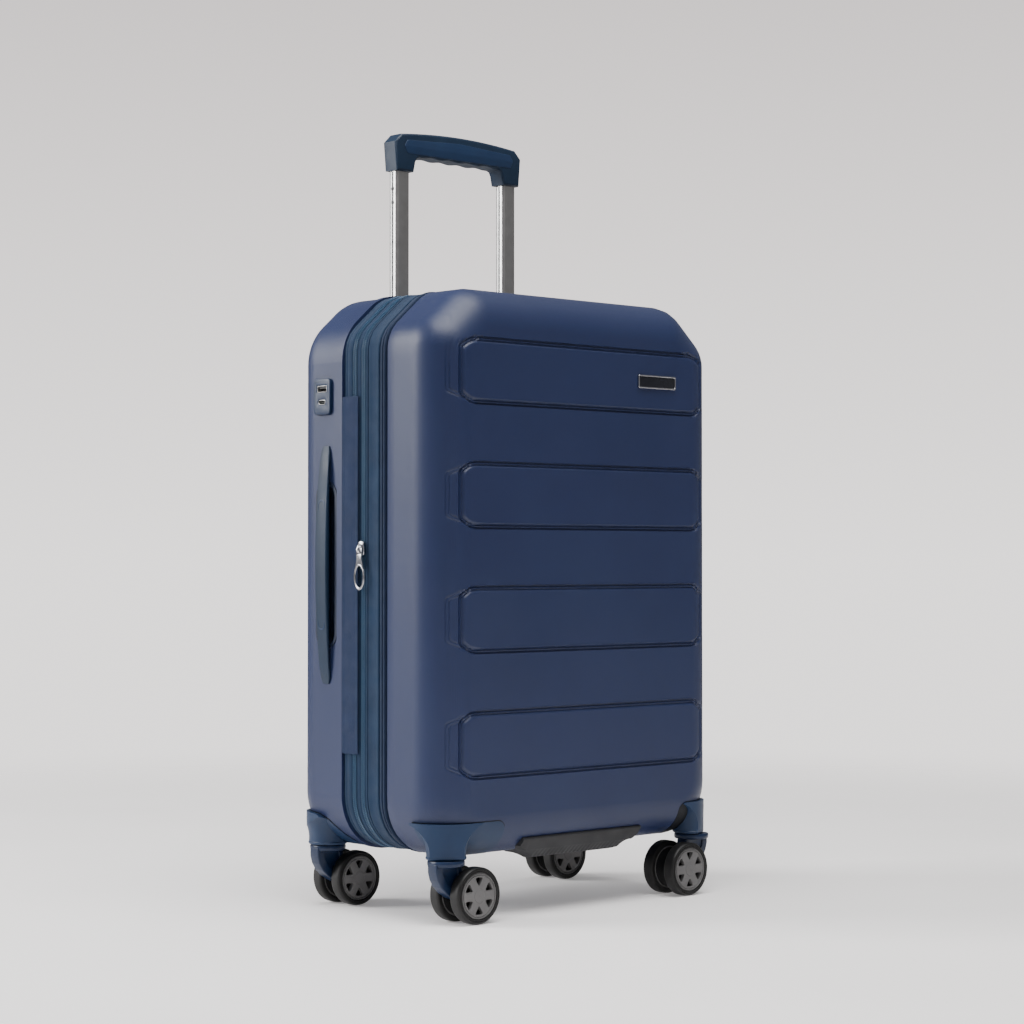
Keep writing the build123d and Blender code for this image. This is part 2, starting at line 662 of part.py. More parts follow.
with BuildPart() as middle_tubes:
    add(tube_pair(MIDDLE_TUBE, MIDDLE_TUBE_FOOT, MIDDLE_TUBE_TOP, TUBE_WALL).part)
    with BuildSketch(Plane.XY.offset(POCKET_FLOOR + 0.3)):
        with Locations((-TUBE_X, TUBE_Y), (TUBE_X, TUBE_Y)):
            RectangleRounded(MIDDLE_TUBE[0] + 4, MIDDLE_TUBE[1] + 3, 4)
            RectangleRounded(INNER_TUBE[0] + 0.6, INNER_TUBE[1] + 0.6, 3, mode=Mode.SUBTRACT)
    extrude(amount=MIDDLE_TUBE_TOP - POCKET_FLOOR)
save(middle_tubes, "middle_tubes")

inner_tubes = tube_pair(INNER_TUBE, INNER_TUBE_TOP - INNER_TUBE_LENGTH - 12, INNER_TUBE_TOP, TUBE_WALL)
save(inner_tubes, "inner_tubes")

with BuildPart() as grip:
    with BuildSketch(Plane.XZ.offset(-TUBE_Y)):
        with BuildLine():
            top = ThreePointArc((-GRIP_HALF + 8, GRIP_TOP - 4), (0, GRIP_TOP), (GRIP_HALF - 8, GRIP_TOP - 4))
            Polyline(top @ 1, (GRIP_HALF, GRIP_TOP - 12), (GRIP_HALF - 2.6, GRIP_BOTTOM), (57.5, GRIP_BOTTOM))
            Polyline((57.5, GRIP_BOTTOM), (54, GRIP_UNDERSIDE), (-54, GRIP_UNDERSIDE), (-57.5, GRIP_BOTTOM))
            Polyline((-57.5, GRIP_BOTTOM), (2.6 - GRIP_HALF, GRIP_BOTTOM), (-GRIP_HALF, GRIP_TOP - 12), top @ 0)
        make_face()
    extrude(amount=GRIP_DEPTH / 2, both=True)
    fillet(grip.edges().filter_by(Axis.Y).filter_by_position(Axis.Z, 698, 700), 8)
    with BuildSketch(Plane.XY.offset(GRIP_BOTTOM)):
        with Locations((-TUBE_X, TUBE_Y), (TUBE_X, TUBE_Y)):
            RectangleRounded(INNER_TUBE[0] + 0.1, INNER_TUBE[1] + 0.1, 3)
    extrude(amount=INNER_TUBE_TOP - GRIP_BOTTOM + 0.1, mode=Mode.SUBTRACT)
    add(
        block(
            (-TUBE_X - 4, TUBE_Y - 3.5, YOKE_TOP - YOKE_HEIGHT - BUTTON_TRAVEL - 2.5),
            (TUBE_X + 4, TUBE_Y + 3.5, YOKE_TOP + 0.4),
        ),
        mode=Mode.SUBTRACT,
    )
    with BuildSketch(Plane.XY.offset(GRIP_BOTTOM)):
        with Locations((-TUBE_X, TUBE_Y), (TUBE_X, TUBE_Y)):
            Circle(2.8)
    extrude(amount=YOKE_TOP - GRIP_BOTTOM, mode=Mode.SUBTRACT)
    with BuildSketch(Plane.XY.offset(YOKE_TOP - BUTTON_TRAVEL - 0.4)):
        with Locations((0, TUBE_Y)):
            SlotOverall(BUTTON_LENGTH + 0.8, BUTTON_WIDTH + 0.8)
    extrude(amount=40, mode=Mode.SUBTRACT)
save(grip, "grip")

with BuildPart() as grip_button:
    with BuildSketch(Plane.XY.offset(YOKE_TOP)):
        with Locations((0, TUBE_Y)):
            SlotOverall(BUTTON_LENGTH, BUTTON_WIDTH)
    extrude(amount=GRIP_TOP + BUTTON_PROUD - YOKE_TOP)
    fillet(grip_button.faces().sort_by(Axis.Z)[-1].edges(), 1)
    add(
        block(
            (-TUBE_X - 2.5, TUBE_Y - 2.5, YOKE_TOP - YOKE_HEIGHT),
            (TUBE_X + 2.5, TUBE_Y + 2.5, YOKE_TOP),
        )
    )
    with BuildSketch(Plane.XY.offset(YOKE_TOP - YOKE_HEIGHT)):
        with Locations((-TUBE_X, TUBE_Y), (TUBE_X, TUBE_Y)):
            Circle(2)
    extrude(amount=-ROD_LENGTH)
save(grip_button, "grip_button")

with BuildPart() as button_spring:
    with BuildLine(Plane((0, TUBE_Y, YOKE_TOP - YOKE_HEIGHT - BUTTON_TRAVEL - 2.5 + 0.5))):
        coil = Helix(SPRING_PITCH, BUTTON_TRAVEL + 1.4, SPRING_RADIUS)
    with BuildSketch(Plane(coil @ 0, z_dir=coil % 0)):
        Circle(0.35)
    sweep()
save(button_spring, "button_spring")


# ---------------------------------------------------------------- zip sliders and pulls
def slider(place):
    """A slider lying on its zip: a tapered body with a raised bridge. Local X runs along the zip."""
    with BuildPart() as piece:
        with BuildSketch(place.offset(SLIDER_GAP)):
            with BuildLine():
                front = ThreePointArc((5, -4.7), (SLIDER_LENGTH / 2, 0), (5, 4.7))
                rear = ThreePointArc((-5, 3.6), (-SLIDER_LENGTH / 2, 0), (-5, -3.6))
                Line(front @ 1, rear @ 0)
                Line(rear @ 1, front @ 0)
            make_face()
        extrude(amount=SLIDER_THICKNESS)
        with BuildSketch(Plane(place.origin, x_dir=place.x_dir, z_dir=place.y_dir)):
            with BuildLine():
                Polyline(
                    (-4.6, -SLIDER_TOP + 0.2), (-3.4, -SLIDER_TOP - BRIDGE_HEIGHT),
                    (3.4, -SLIDER_TOP - BRIDGE_HEIGHT), (4.6, -SLIDER_TOP + 0.2),
                    (2.8, -SLIDER_TOP + 0.2), (2.4, -SLIDER_TOP - BRIDGE_HEIGHT + 1.3),
                    (-2.4, -SLIDER_TOP - BRIDGE_HEIGHT + 1.3), (-2.8, -SLIDER_TOP + 0.2),
                    close=True,
                )
            make_face()
        extrude(amount=1.1, both=True)
    return piece


def pull(place):
    """A pull tab lying flat: a cross bar under the bridge, two arms, a flared neck and an oval eye."""
    lift = SLIDER_TOP + 1.1
    with BuildPart() as piece:
        with BuildSketch(place.offset(lift - 0.75)):
            with BuildLine():
                Polyline((4.9, -3.7), (9, -3.4), (19, -6.6), (19, 6.6), (9, 3.4), (4.9, 3.7), close=True)
            make_face()
            with Locations((PULL_LENGTH - 12, 0)):
                Ellipse(12, 7.4)
                Ellipse(9.6, 5.2, mode=Mode.SUBTRACT)
            with Locations((3, 3.1), (3, -3.1)):
                Rectangle(7.4, 1.3)
        extrude(amount=1.5)
        with BuildSketch(Plane(place.origin, x_dir=place.x_dir, z_dir=place.y_dir)):
            with Locations((0, -lift)):
                Circle(0.75)
        extrude(amount=3.7, both=True)
    return piece


TOP_SURFACE = SHELL_TOP - COIL_OUTER
SIDE_SURFACE = -HALF_WIDTH + COIL_OUTER
MAIN_LEFT = Plane((MAIN_LEFT_X, MAIN_ZIP, TOP_SURFACE), x_dir=(1, 0, 0), z_dir=(0, 0, 1))
MAIN_LEFT_PULL = Plane(
    (MAIN_LEFT_X, MAIN_ZIP, TOP_SURFACE),
    x_dir=(cos(radians(PULL_SWING)), -sin(radians(PULL_SWING)), 0),
    z_dir=(0, 0, 1),
)
MAIN_RIGHT = Plane((MAIN_RIGHT_X, MAIN_ZIP, TOP_SURFACE), x_dir=(1, 0, 0), z_dir=(0, 0, 1))
EXPANSION = Plane((SIDE_SURFACE, EXPANSION_ZIP, EXPANSION_SLIDER_Z), x_dir=(0, 0, -1), z_dir=(-1, 0, 0))

save(slider(MAIN_LEFT), "main_slider_left")
save(pull(MAIN_LEFT_PULL), "main_pull_left")
save(slider(MAIN_RIGHT), "main_slider_right")
save(pull(MAIN_RIGHT), "main_pull_right")
save(slider(EXPANSION), "expansion_slider")
save(pull(EXPANSION), "expansion_pull")
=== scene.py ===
from math import atan2, cos, hypot, pi, radians, sin, tan

import bmesh
import bpy
from mathutils import Matrix, Vector


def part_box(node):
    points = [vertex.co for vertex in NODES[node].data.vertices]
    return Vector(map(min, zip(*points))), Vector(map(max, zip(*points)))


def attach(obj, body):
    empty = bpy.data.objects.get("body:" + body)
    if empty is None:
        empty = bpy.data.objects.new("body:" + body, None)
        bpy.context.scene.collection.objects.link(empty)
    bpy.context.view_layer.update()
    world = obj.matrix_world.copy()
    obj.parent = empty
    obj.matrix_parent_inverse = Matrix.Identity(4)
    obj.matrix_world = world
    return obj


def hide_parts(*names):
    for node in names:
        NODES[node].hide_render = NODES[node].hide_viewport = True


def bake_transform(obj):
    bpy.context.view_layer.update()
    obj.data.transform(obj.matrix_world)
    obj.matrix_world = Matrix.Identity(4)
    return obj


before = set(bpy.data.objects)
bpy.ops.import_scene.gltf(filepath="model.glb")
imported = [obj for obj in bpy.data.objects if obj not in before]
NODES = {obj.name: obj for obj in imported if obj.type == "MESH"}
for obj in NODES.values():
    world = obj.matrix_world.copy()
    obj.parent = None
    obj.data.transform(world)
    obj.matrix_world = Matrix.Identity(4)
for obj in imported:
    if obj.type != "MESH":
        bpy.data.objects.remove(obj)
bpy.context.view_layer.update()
MM = 0.001

# ------------------------------------------------------------ measures read from the frame
shell_low, shell_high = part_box("front_shell")
HALF = shell_high.x
TOP = shell_high.z
BOTTOM = shell_low.z
FRONT_Y = shell_low.y
FRONT_EDGE = shell_high.y
BACK_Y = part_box("back_shell")[1].y

# The outline of the case: sloped, softened shoulders and round feet, as wide as the frame says.
SHOULDER_ACROSS = 46 * MM
SHOULDER_DOWN = 40 * MM
SHOULDER_RADIUS = 34 * MM
SHOULDER_LEAST = 4 * MM
FOOT_RADIUS = 50 * MM
FRONT_ROUNDING = 38 * MM
BACK_ROUNDING = 25 * MM
WALL = 2.4 * MM
SHOULDER_SLOPE = hypot(SHOULDER_ACROSS, SHOULDER_DOWN)
SLOPE_ANGLE = atan2(SHOULDER_ACROSS, SHOULDER_DOWN)
STRAIGHT_LOW = BOTTOM + FOOT_RADIUS
STRAIGHT_HIGH = TOP - 78 * MM


# ------------------------------------------------------------ materials
def node(tree, kind, inputs=(), **settings):
    """A shader node with its settings made and its inputs linked or filled."""
    made = tree.nodes.new(kind)
    for key, value in settings.items():
        setattr(made, key, value)
    for key, value in dict(inputs).items():
        if isinstance(value, bpy.types.NodeSocket):
            tree.links.new(value, made.inputs[key])
        else:
            made.inputs[key].default_value = value
    return made


# Small steps for building shader trees.
def math(tree, operation, first, second=0.5):
    return node(tree, "ShaderNodeMath", {0: first, 1: second}, operation=operation).outputs[0]


def place(tree):
    return node(tree, "ShaderNodeTexCoord").outputs["Object"]


def speckle(tree, size, detail=2.0, stretch=(1, 1, 1)):
    """Soft random variation with features of about size metres."""
    moved = node(tree, "ShaderNodeMapping", {"Vector": place(tree), "Scale": stretch}).outputs[0]
    return node(tree, "ShaderNodeTexNoise", {"Vector": moved, "Scale": 1 / size, "Detail": detail}).outputs[0]


def stripes(tree, direction, pitch):
    """Sine stripes across a direction, from -1 to 1."""
    along = node(tree, "ShaderNodeVectorMath", {0: place(tree), 1: direction}, operation="DOT_PRODUCT")
    turns = math(tree, "MULTIPLY", along.outputs["Value"], 2 * pi / pitch)
    return math(tree, "SINE", turns, 0)


def ramp(tree, value, low, high, source=(0.3, 0.7)):
    inputs = {0: value, 1: source[0], 2: source[1], 3: low, 4: high}
    return node(tree, "ShaderNodeMapRange", inputs).outputs[0]


def blend_colour(tree, factor, first, second):
    made = node(tree, "ShaderNodeMix", {"Factor": factor}, data_type="RGBA")
    made.inputs[6].default_value = (*first, 1)
    made.inputs[7].default_value = (*second, 1)
    return made.outputs[2]


def finish_of(name, light, dark, roughness, patch=0.03, metallic=0.0, **sockets):
    """A material whose colour and roughness drift a little from patch to patch."""
    material = bpy.data.materials.new(name)
    material.use_nodes = True
    tree = material.node_tree
    shader = tree.nodes["Principled BSDF"]
    drift = ramp(tree, speckle(tree, patch, 3), 0.0, 1.0)
    tree.links.new(blend_colour(tree, drift, light, dark), shader.inputs["Base Color"])
    tree.links.new(ramp(tree, speckle(tree, patch * 0.6), *roughness), shader.inputs["Roughness"])
    shader.inputs["Metallic"].default_value = metallic
    for key, value in sockets.items():
        shader.inputs[key.replace("_", " ")].default_value = value
    return material, tree, shader


def emboss(tree, shader, *layers):
    """Stacks bump layers, each a height and its depth in metres."""
    normal = None
    for height, depth in layers:
        inputs = {"Height": height, "Distance": depth, "Strength": 1.0}
        if normal is not None:
            inputs["Normal"] = normal
        normal = node(tree, "ShaderNodeBump", inputs).outputs[0]
    tree.links.new(normal, shader.inputs["Normal"])


def shell_plastic():
    """Polycarbonate moulded with a fine diagonal cross-hatch."""
    material, tree, shader = finish_of(
        "shell_plastic", (0.0132, 0.0224, 0.069), (0.0113, 0.0192, 0.061), (0.38, 0.46), 0.12,
        Specular_IOR_Level=0.36,
    )
    hatch = math(tree, "MULTIPLY", stripes(tree, (1, 1, 1), 1.9 * MM), stripes(tree, (1, 1, -1), 1.9 * MM))
    emboss(tree, shader, (hatch, 0.035 * MM), (speckle(tree, 0.9 * MM), 0.03 * MM))
    return material


def moulded(name, light, dark, roughness=(0.4, 0.5), grain=0.7 * MM, depth=0.04 * MM):
    """Moulded plastic with a spark-eroded grain."""
    material, tree, shader = finish_of(name, light, dark, roughness, Specular_IOR_Level=0.3)
    emboss(tree, shader, (speckle(tree, grain, 3), depth), (speckle(tree, 14 * MM), 0.1 * MM))
    return material


def woven(name, light, dark, pitch, depth, along=(0, 1, 0), across=(1, 0, 1), sheen=0.06):
    """A plain weave: two sets of threads, each hiding the other in turn."""
    material, tree, shader = finish_of(
        name, light, dark, (0.78, 0.92), 0.02, Sheen_Weight=sheen, Sheen_Roughness=0.45,
        Specular_IOR_Level=0.25,
    )
    threads = math(tree, "MULTIPLY", stripes(tree, along, pitch), stripes(tree, across, pitch))
    emboss(tree, shader, (threads, depth), (speckle(tree, 0.5 * MM), 0.04 * MM))
    return material


def jacquard_lining():
    """Thin lining with a small diamond figure."""
    material, tree, shader = finish_of(
        "jacquard_lining", (0.115, 0.125, 0.15), (0.095, 0.105, 0.13), (0.5, 0.7), 0.05,
        Sheen_Weight=0.3, Sheen_Roughness=0.4,
    )
    first = stripes(tree, (0.6, 0.6, 1), 9 * MM)
    second = stripes(tree, (0.6, 0.6, -1), 9 * MM)
    figure = math(tree, "GREATER_THAN", math(tree, "MULTIPLY", first, second), 0.35)
    colour = blend_colour(tree, figure, (0.11, 0.12, 0.145), (0.06, 0.068, 0.09))
    tree.links.new(colour, shader.inputs["Base Color"])
    emboss(tree, shader, (stripes(tree, (1, 1, 0), 0.6 * MM), 0.02 * MM), (speckle(tree, 18 * MM), 1.2 * MM))
    return material


def metal(name, light, dark, roughness, brush=None, depth=0.004 * MM):
    """Plated or drawn metal, with fine lines along the brush direction."""
    material, tree, shader = finish_of(name, light, dark, roughness, 0.01, 1.0)
    stretch = brush or (1, 1, 1)
    emboss(tree, shader, (speckle(tree, 0.6 * MM, 3, stretch), depth))
    return material


def ribbed(name, light, dark, roughness, pitch, direction, depth):
    """Rubber or webbing with parallel ribs."""
    material, tree, shader = finish_of(name, light, dark, roughness, 0.02, Specular_IOR_Level=0.3)
    emboss(tree, shader, (stripes(tree, direction, pitch), depth), (speckle(tree, 0.8 * MM), 0.05 * MM))
    return material


SHELL = shell_plastic()
GUARD = moulded("guard_plastic", (0.0095, 0.026, 0.068), (0.008, 0.022, 0.058))
# painted shade: a near-black skin that stands in for the shade in the gap round each corner guard
SEAM_SHADE = moulded("seam_shadow", (0.003, 0.004, 0.007), (0.002, 0.003, 0.005), (0.6, 0.7))
POCKET = moulded("pocket_plastic", (0.008, 0.014, 0.034), (0.006, 0.011, 0.027))
FORK = moulded("fork_plastic", (0.0075, 0.018, 0.05), (0.006, 0.0145, 0.04), (0.3, 0.4))
SOFT = moulded("soft_touch", (0.0062, 0.019, 0.043), (0.005, 0.0155, 0.036), (0.42, 0.52), 0.5 * MM, 0.03 * MM)
PORT = moulded("port_plastic", (0.009, 0.0215, 0.056), (0.0075, 0.018, 0.046), (0.32, 0.42))
DARK = moulded("dark_plastic", (0.007, 0.0075, 0.009), (0.005, 0.0055, 0.0065), (0.35, 0.5))
HUB = moulded("hub_plastic", (0.12, 0.118, 0.118), (0.098, 0.096, 0.097), (0.36, 0.48), 0.5 * MM)
# painted shade: near-black for the hub's inner web, which is seen only deep behind the windows
HUB_RECESS_SHADE = moulded("hub_recess_painted_shade", (0.01, 0.01, 0.011), (0.007, 0.007, 0.008), (0.5, 0.6))
TYRE = moulded("polyurethane", (0.007, 0.0068, 0.007), (0.0045, 0.0045, 0.0047), (0.42, 0.58), 0.6 * MM, 0.05 * MM)
PAD = moulded("pad_rubber", (0.027, 0.0275, 0.03), (0.019, 0.0195, 0.0215), (0.55, 0.7), 0.9 * MM, 0.08 * MM)
TAPE = woven("zip_tape", (0.006, 0.023, 0.058), (0.0048, 0.018, 0.047), 0.9 * MM, 0.1 * MM)
COIL = moulded("zip_coil", (0.03, 0.072, 0.135), (0.023, 0.057, 0.11), (0.3, 0.42), 0.4 * MM, 0.02 * MM)
CLOTH = woven("hinge_cloth", (0.0075, 0.0185, 0.056), (0.006, 0.015, 0.046), 0.7 * MM, 0.07 * MM)
THREAD = woven("sewing_thread", (0.02, 0.038, 0.08), (0.015, 0.03, 0.065), 0.3 * MM, 0.03 * MM)
GUSSET = woven("gusset_cloth", (0.008, 0.0145, 0.034), (0.0062, 0.0115, 0.027), 1.0 * MM, 0.09 * MM)
BINDING = woven("edge_binding", (0.01, 0.021, 0.052), (0.0078, 0.0165, 0.042), 0.8 * MM, 0.07 * MM)
LINING = jacquard_lining()
WEBBING = ribbed(
    "webbing", (0.015, 0.019, 0.03), (0.011, 0.014, 0.023), (0.7, 0.85), 1.6 * MM, (1, 0, 0.3), 0.2 * MM
)
NICKEL = metal("plated_nickel", (0.52, 0.52, 0.54), (0.42, 0.42, 0.45), (0.12, 0.24))
ENAMEL = moulded("badge_enamel", (0.012, 0.013, 0.018), (0.008, 0.009, 0.013), (0.16, 0.24), 0.4 * MM, 0.01 * MM)
TUBE = metal("drawn_aluminium", (0.42, 0.415, 0.41), (0.37, 0.365, 0.36), (0.3, 0.36), (1, 1, 0.02), 0.0012 * MM)
STEEL = metal("spring_steel", (0.45, 0.45, 0.45), (0.36, 0.36, 0.36), (0.25, 0.4))


# ------------------------------------------------------------ putting pieces in the frame
def settle(piece, body, material, replaces=(), smooth=35):
    """Gives a new piece its material, shading and body, and hides the nodes that it stands for."""
    piece.data.materials.append(material)
    piece.data.shade_smooth()
    piece.data.set_sharp_from_angle(angle=radians(smooth))
    if body:
        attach(piece, body)
    if replaces:
        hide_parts(*replaces)
    return piece


def mesh_piece(name, points, faces):
    """A new object with its face normals turned outwards."""
    data = bpy.data.meshes.new(name)
    data.from_pydata(points, [], faces)
    data.validate()
    tidy = bmesh.new()
    tidy.from_mesh(data)
    bmesh.ops.recalc_face_normals(tidy, faces=tidy.faces)
    tidy.to_mesh(data)
    tidy.free()
    piece = bpy.data.objects.new(name, data)
    bpy.context.scene.collection.objects.link(piece)
    return piece


def put(name, part, body, material, replaces=(), smooth=35):
    """Makes a piece from its points and faces, and settles it."""
    return settle(mesh_piece(name, *part), body, material, replaces, smooth)


def loft(rings, around=True, along=False):
    """Joins rings of equally many points; around closes each ring, along joins the last to the first."""
    count = len(rings[0])
    points = [point for ring in rings for point in ring]
    faces = []
    for i in range(len(rings) if along else len(rings) - 1):
        j = (i + 1) % len(rings)
        for k in range(count if around else count - 1):
            m = (k + 1) % count
            faces.append((i * count + k, i * count + m, j * count + m, j * count + k))
    return points, faces


def capped(rings):
    """A lofted tube with both ends filled."""
    points, faces = loft(rings)
    count = len(rings[0])
    faces.append(tuple(range(count))[::-1])
    faces.append(tuple(range(len(points) - count, len(points))))
    return points, faces


def merged(parts):
    """Joins several (points, faces) into one."""
    points, faces = [], []
    for more_points, more_faces in parts:
        start = len(points)
        points += more_points
        faces += [tuple(i + start for i in face) for face in more_faces]
    return points, faces


def rounded(corners, radius, steps=5):
    """A closed outline through the corners, with each corner rounded."""
    made = []
    count = len(corners)
    radii = radius if isinstance(radius, (list, tuple)) else [radius] * count
    for i, corner in enumerate(corners):
        here = Vector(corner)
        back = (Vector(corners[i - 1]) - here).normalized()
        ahead = (Vector(corners[(i + 1) % count]) - here).normalized()
        half = back.angle(ahead) / 2
        reach = radii[i] / tan(half)
        middle = here + (back + ahead).normalized() * (radii[i] / sin(half))
        start = here + back * reach - middle
        end = here + ahead * reach - middle
        sweep = start.angle(end)
        for k in range(steps + 1):
            share = k / steps
            spoke = (start * sin((1 - share) * sweep) + end * sin(share * sweep)) / sin(sweep)
            made.append(tuple(middle + spoke))
    return made


def corners_of(low, high):
    """The corners of the rectangle between two opposite ones."""
    (x0, y0), (x1, y1) = low, high
    return [(x0, y0), (x1, y0), (x1, y1), (x0, y1)]


def oblong(half_x, half_y, radius, steps=5, x=0, y=0):
    """A rectangle with rounded corners about a point."""
    return rounded(corners_of((x - half_x, y - half_y), (x + half_x, y + half_y)), radius, steps)


def ellipse(x, y, wide, high, steps=32):
    return [(x + wide * cos(2 * pi * k / steps), y + high * sin(2 * pi * k / steps)) for k in range(steps)]


def plate(outlines, thickness, bevel, matrix, turns=3):
    """A flat plate with rounded edges, filled between its outlines, lying across the plane's Z."""
    curve = bpy.data.curves.new("plate", "CURVE")
    curve.dimensions = "2D"
    curve.fill_mode = "BOTH"
    curve.extrude = thickness / 2 - bevel
    curve.bevel_depth = bevel
    curve.bevel_resolution = turns
    curve.offset = -bevel
    for outline in outlines:
        spline = curve.splines.new("POLY")
        spline.points.add(len(outline) - 1)
        for point, (x, y) in zip(spline.points, outline):
            point.co = (x, y, 0, 1)
        spline.use_cyclic_u = True
    holder = bpy.data.objects.new("plate", curve)
    bpy.context.scene.collection.objects.link(holder)
    bpy.context.view_layer.update()
    data = bpy.data.meshes.new_from_object(holder.evaluated_get(bpy.context.evaluated_depsgraph_get()))
    bpy.data.objects.remove(holder)
    bpy.data.curves.remove(curve)
    tidy = bmesh.new()
    tidy.from_mesh(data)
    bmesh.ops.remove_doubles(tidy, verts=tidy.verts, dist=0.001)
    bmesh.ops.transform(tidy, matrix=matrix, verts=tidy.verts)
    part = read_part(tidy)
    bpy.data.meshes.remove(data)
    return part


def read_part(tidy):
    """Points and faces of an edited mesh, which is freed."""
    tidy.verts.index_update()
    part = [tuple(v.co) for v in tidy.verts], [tuple(v.index for v in f.verts) for f in tidy.faces]
    tidy.free()
    return part


def carve(part, cutter, operation="DIFFERENCE"):
    """Cuts one closed part with another."""
    body = mesh_piece("carved", *part)
    tool = mesh_piece("cutter", *cutter)
    change = body.modifiers.new("cut", "BOOLEAN")
    change.object = tool
    change.operation = operation
    change.solver = "EXACT"
    bpy.context.view_layer.update()
    data = bpy.data.meshes.new_from_object(body.evaluated_get(bpy.context.evaluated_depsgraph_get()))
    for used in (body, tool):
        bpy.data.objects.remove(used)
    tidy = bmesh.new()
    tidy.from_mesh(data)
    bpy.data.meshes.remove(data)
    return read_part(tidy)


def basis(origin, x_axis=(1, 0, 0), z_axis=(0, 0, 1)):
    """A plane at a point in metres, with its own X and Z directions, measured in millimetres."""
    x = Vector(x_axis).normalized()
    z = Vector(z_axis).normalized()
    y = z.cross(x)
    made = Matrix((x, y, z)).transposed().to_4x4()
    made.translation = Vector(origin)
    return made @ Matrix.Scale(MM, 4)


def above(matrix, height):
    """The same plane moved along its own Z."""
    return matrix @ Matrix.Translation((0, 0, height))


def upright(x, y):
    """A level plane on the floor under a point, measured in millimetres."""
    return Matrix.Scale(MM, 4) @ Matrix.Translation((x, y, 0))


def seen_on(matrix, points, height):
    """Plane points carried into the scene at one height above the plane."""
    return [tuple(matrix @ Vector((x, y, height))) for x, y in points]


def lathe(profile, matrix, steps=64):
    """Turns a closed profile of (radius, height) about the local Z axis."""
    rings = []
    for k in range(steps):
        angle = 2 * pi * k / steps
        rings.append([tuple(matrix @ Vector((r * cos(angle), r * sin(angle), h))) for r, h in profile])
    return loft(rings, along=True)


def brick(low, high, bevel=0.0, matrix=None):
    """A block between two corners, in millimetres, with rounded upright edges where bevel is set."""
    outline = corners_of(low[:2], high[:2])
    if bevel:
        outline = rounded(outline, bevel)
    matrix = matrix or Matrix.Scale(MM, 4)
    return capped([seen_on(matrix, outline, z) for z in (low[2], high[2])])


# ------------------------------------------------------------ camera, light and floor
CAMERA_AT = Vector((-1.554, -1.67, 0.3185))
CAMERA_YAW = radians(42.91)
CAMERA_PITCH = radians(1.09)


def studio():
    """The photo's camera, a pale backdrop that the camera alone sees, and three soft lights."""
    level = cos(CAMERA_PITCH)
    forward = Vector((sin(CAMERA_YAW) * level, cos(CAMERA_YAW) * level, sin(CAMERA_PITCH)))
    data = bpy.data.cameras.new("camera")
    data.lens = 85.4
    data.sensor_width = 36
    camera = bpy.data.objects.new("camera", data)
    camera.location = CAMERA_AT
    camera.rotation_euler = forward.to_track_quat("-Z", "Y").to_euler()
    bpy.context.scene.collection.objects.link(camera)
    bpy.context.scene.camera = camera

    world = bpy.data.worlds.new("studio")
    world.use_nodes = True
    bpy.context.scene.world = world
    tree = world.node_tree
    glow = tree.nodes["Background"]
    glow.inputs[0].default_value = (0.8, 0.79, 0.8, 1)
    glow.inputs[1].default_value = 0.36
    height = node(tree, "ShaderNodeSeparateXYZ", {0: node(tree, "ShaderNodeTexCoord").outputs["Generated"]})
    rise = ramp(tree, height.outputs[2], 0, 1, (0.0, 0.24))
    sky = blend_colour(tree, rise, (0.98, 0.945, 0.935), (0.57, 0.53, 0.525))
    backdrop = node(tree, "ShaderNodeBackground", {"Color": sky, "Strength": 1.85})
    seen = node(tree, "ShaderNodeLightPath").outputs["Is Camera Ray"]
    choice = node(tree, "ShaderNodeMixShader", {0: seen, 1: glow.outputs[0], 2: backdrop.outputs[0]})
    tree.links.new(choice.outputs[0], tree.nodes["World Output"].inputs[0])

    for name, spot, aim, width, height, power in (
        ("left_wall", (-2.3, 1.9, 1.5), (-0.1, 0, 0.4), 1.3, 1.8, 135),
        ("top", (-0.3, -0.55, 2.45), (0, -0.05, 0.2), 1.8, 1.6, 96),
        ("front", (-0.6, -2.8, 1.9), (0, 0, 0.3), 1.2, 1.2, 3),
    ):
        light = bpy.data.lights.new(name, "AREA")
        light.shape = "RECTANGLE"
        light.size = width
        light.size_y = height
        light.energy = power
        lamp = bpy.data.objects.new(name, light)
        lamp.location = spot
        lamp.rotation_euler = (Vector(aim) - Vector(spot)).to_track_quat("-Z", "Y").to_euler()
        bpy.context.scene.collection.objects.link(lamp)


def floor():
    """A pale floor that fades into the background past its edge."""
    material, tree, shader = finish_of(
        "floor", (0.9, 0.875, 0.865), (0.89, 0.865, 0.855), (0.5, 0.6), 0.4, Emission_Strength=0.19,
        Emission_Color=(1, 0.975, 0.97, 1),
    )
    reach = node(tree, "ShaderNodeVectorMath", {0: place(tree)}, operation="LENGTH").outputs["Value"]
    span = {0: reach, 1: 0.7, 2: 1.9, 3: 1.0, 4: 0.0}
    fade = node(tree, "ShaderNodeMapRange", span, interpolation_type="SMOOTHSTEP")
    tree.links.new(fade.outputs[0], shader.inputs["Alpha"])
    steps = 96
    points, faces = loft([[(x, y, 0) for x, y in ellipse(0, 0, r, r, steps)] for r in (0.01, 1, 2.0)])
    faces.append(tuple(range(steps)))
    piece = mesh_piece("floor", points, faces)
    piece.data.materials.append(material)


studio()
floor()


# ------------------------------------------------------------ the case's outline
def outline_sizes(inset):
    """Half width, bottom, foot radius, shoulder radius and the two shoulder corners at an inset."""
    excess = SHOULDER_ACROSS + SHOULDER_DOWN - SHOULDER_SLOPE
    shrink = 1 - inset * excess / (SHOULDER_ACROSS * SHOULDER_DOWN)
    wide = HALF - inset
    top = TOP - inset
    lower = Vector((wide, top - SHOULDER_DOWN * shrink))
    upper = Vector((wide - SHOULDER_ACROSS * shrink, top))
    radius = max(SHOULDER_RADIUS - 0.75 * inset, SHOULDER_LEAST)
    return wide, BOTTOM + inset, FOOT_RADIUS - inset, radius, lower, upper


def arc(middle, radius, start, turn, share):
    """A point part of the way round an arc, and the outward angle there."""
    angle = start + turn * share
    return Vector((middle[0] + radius * cos(angle), middle[1] + radius * sin(angle))), angle


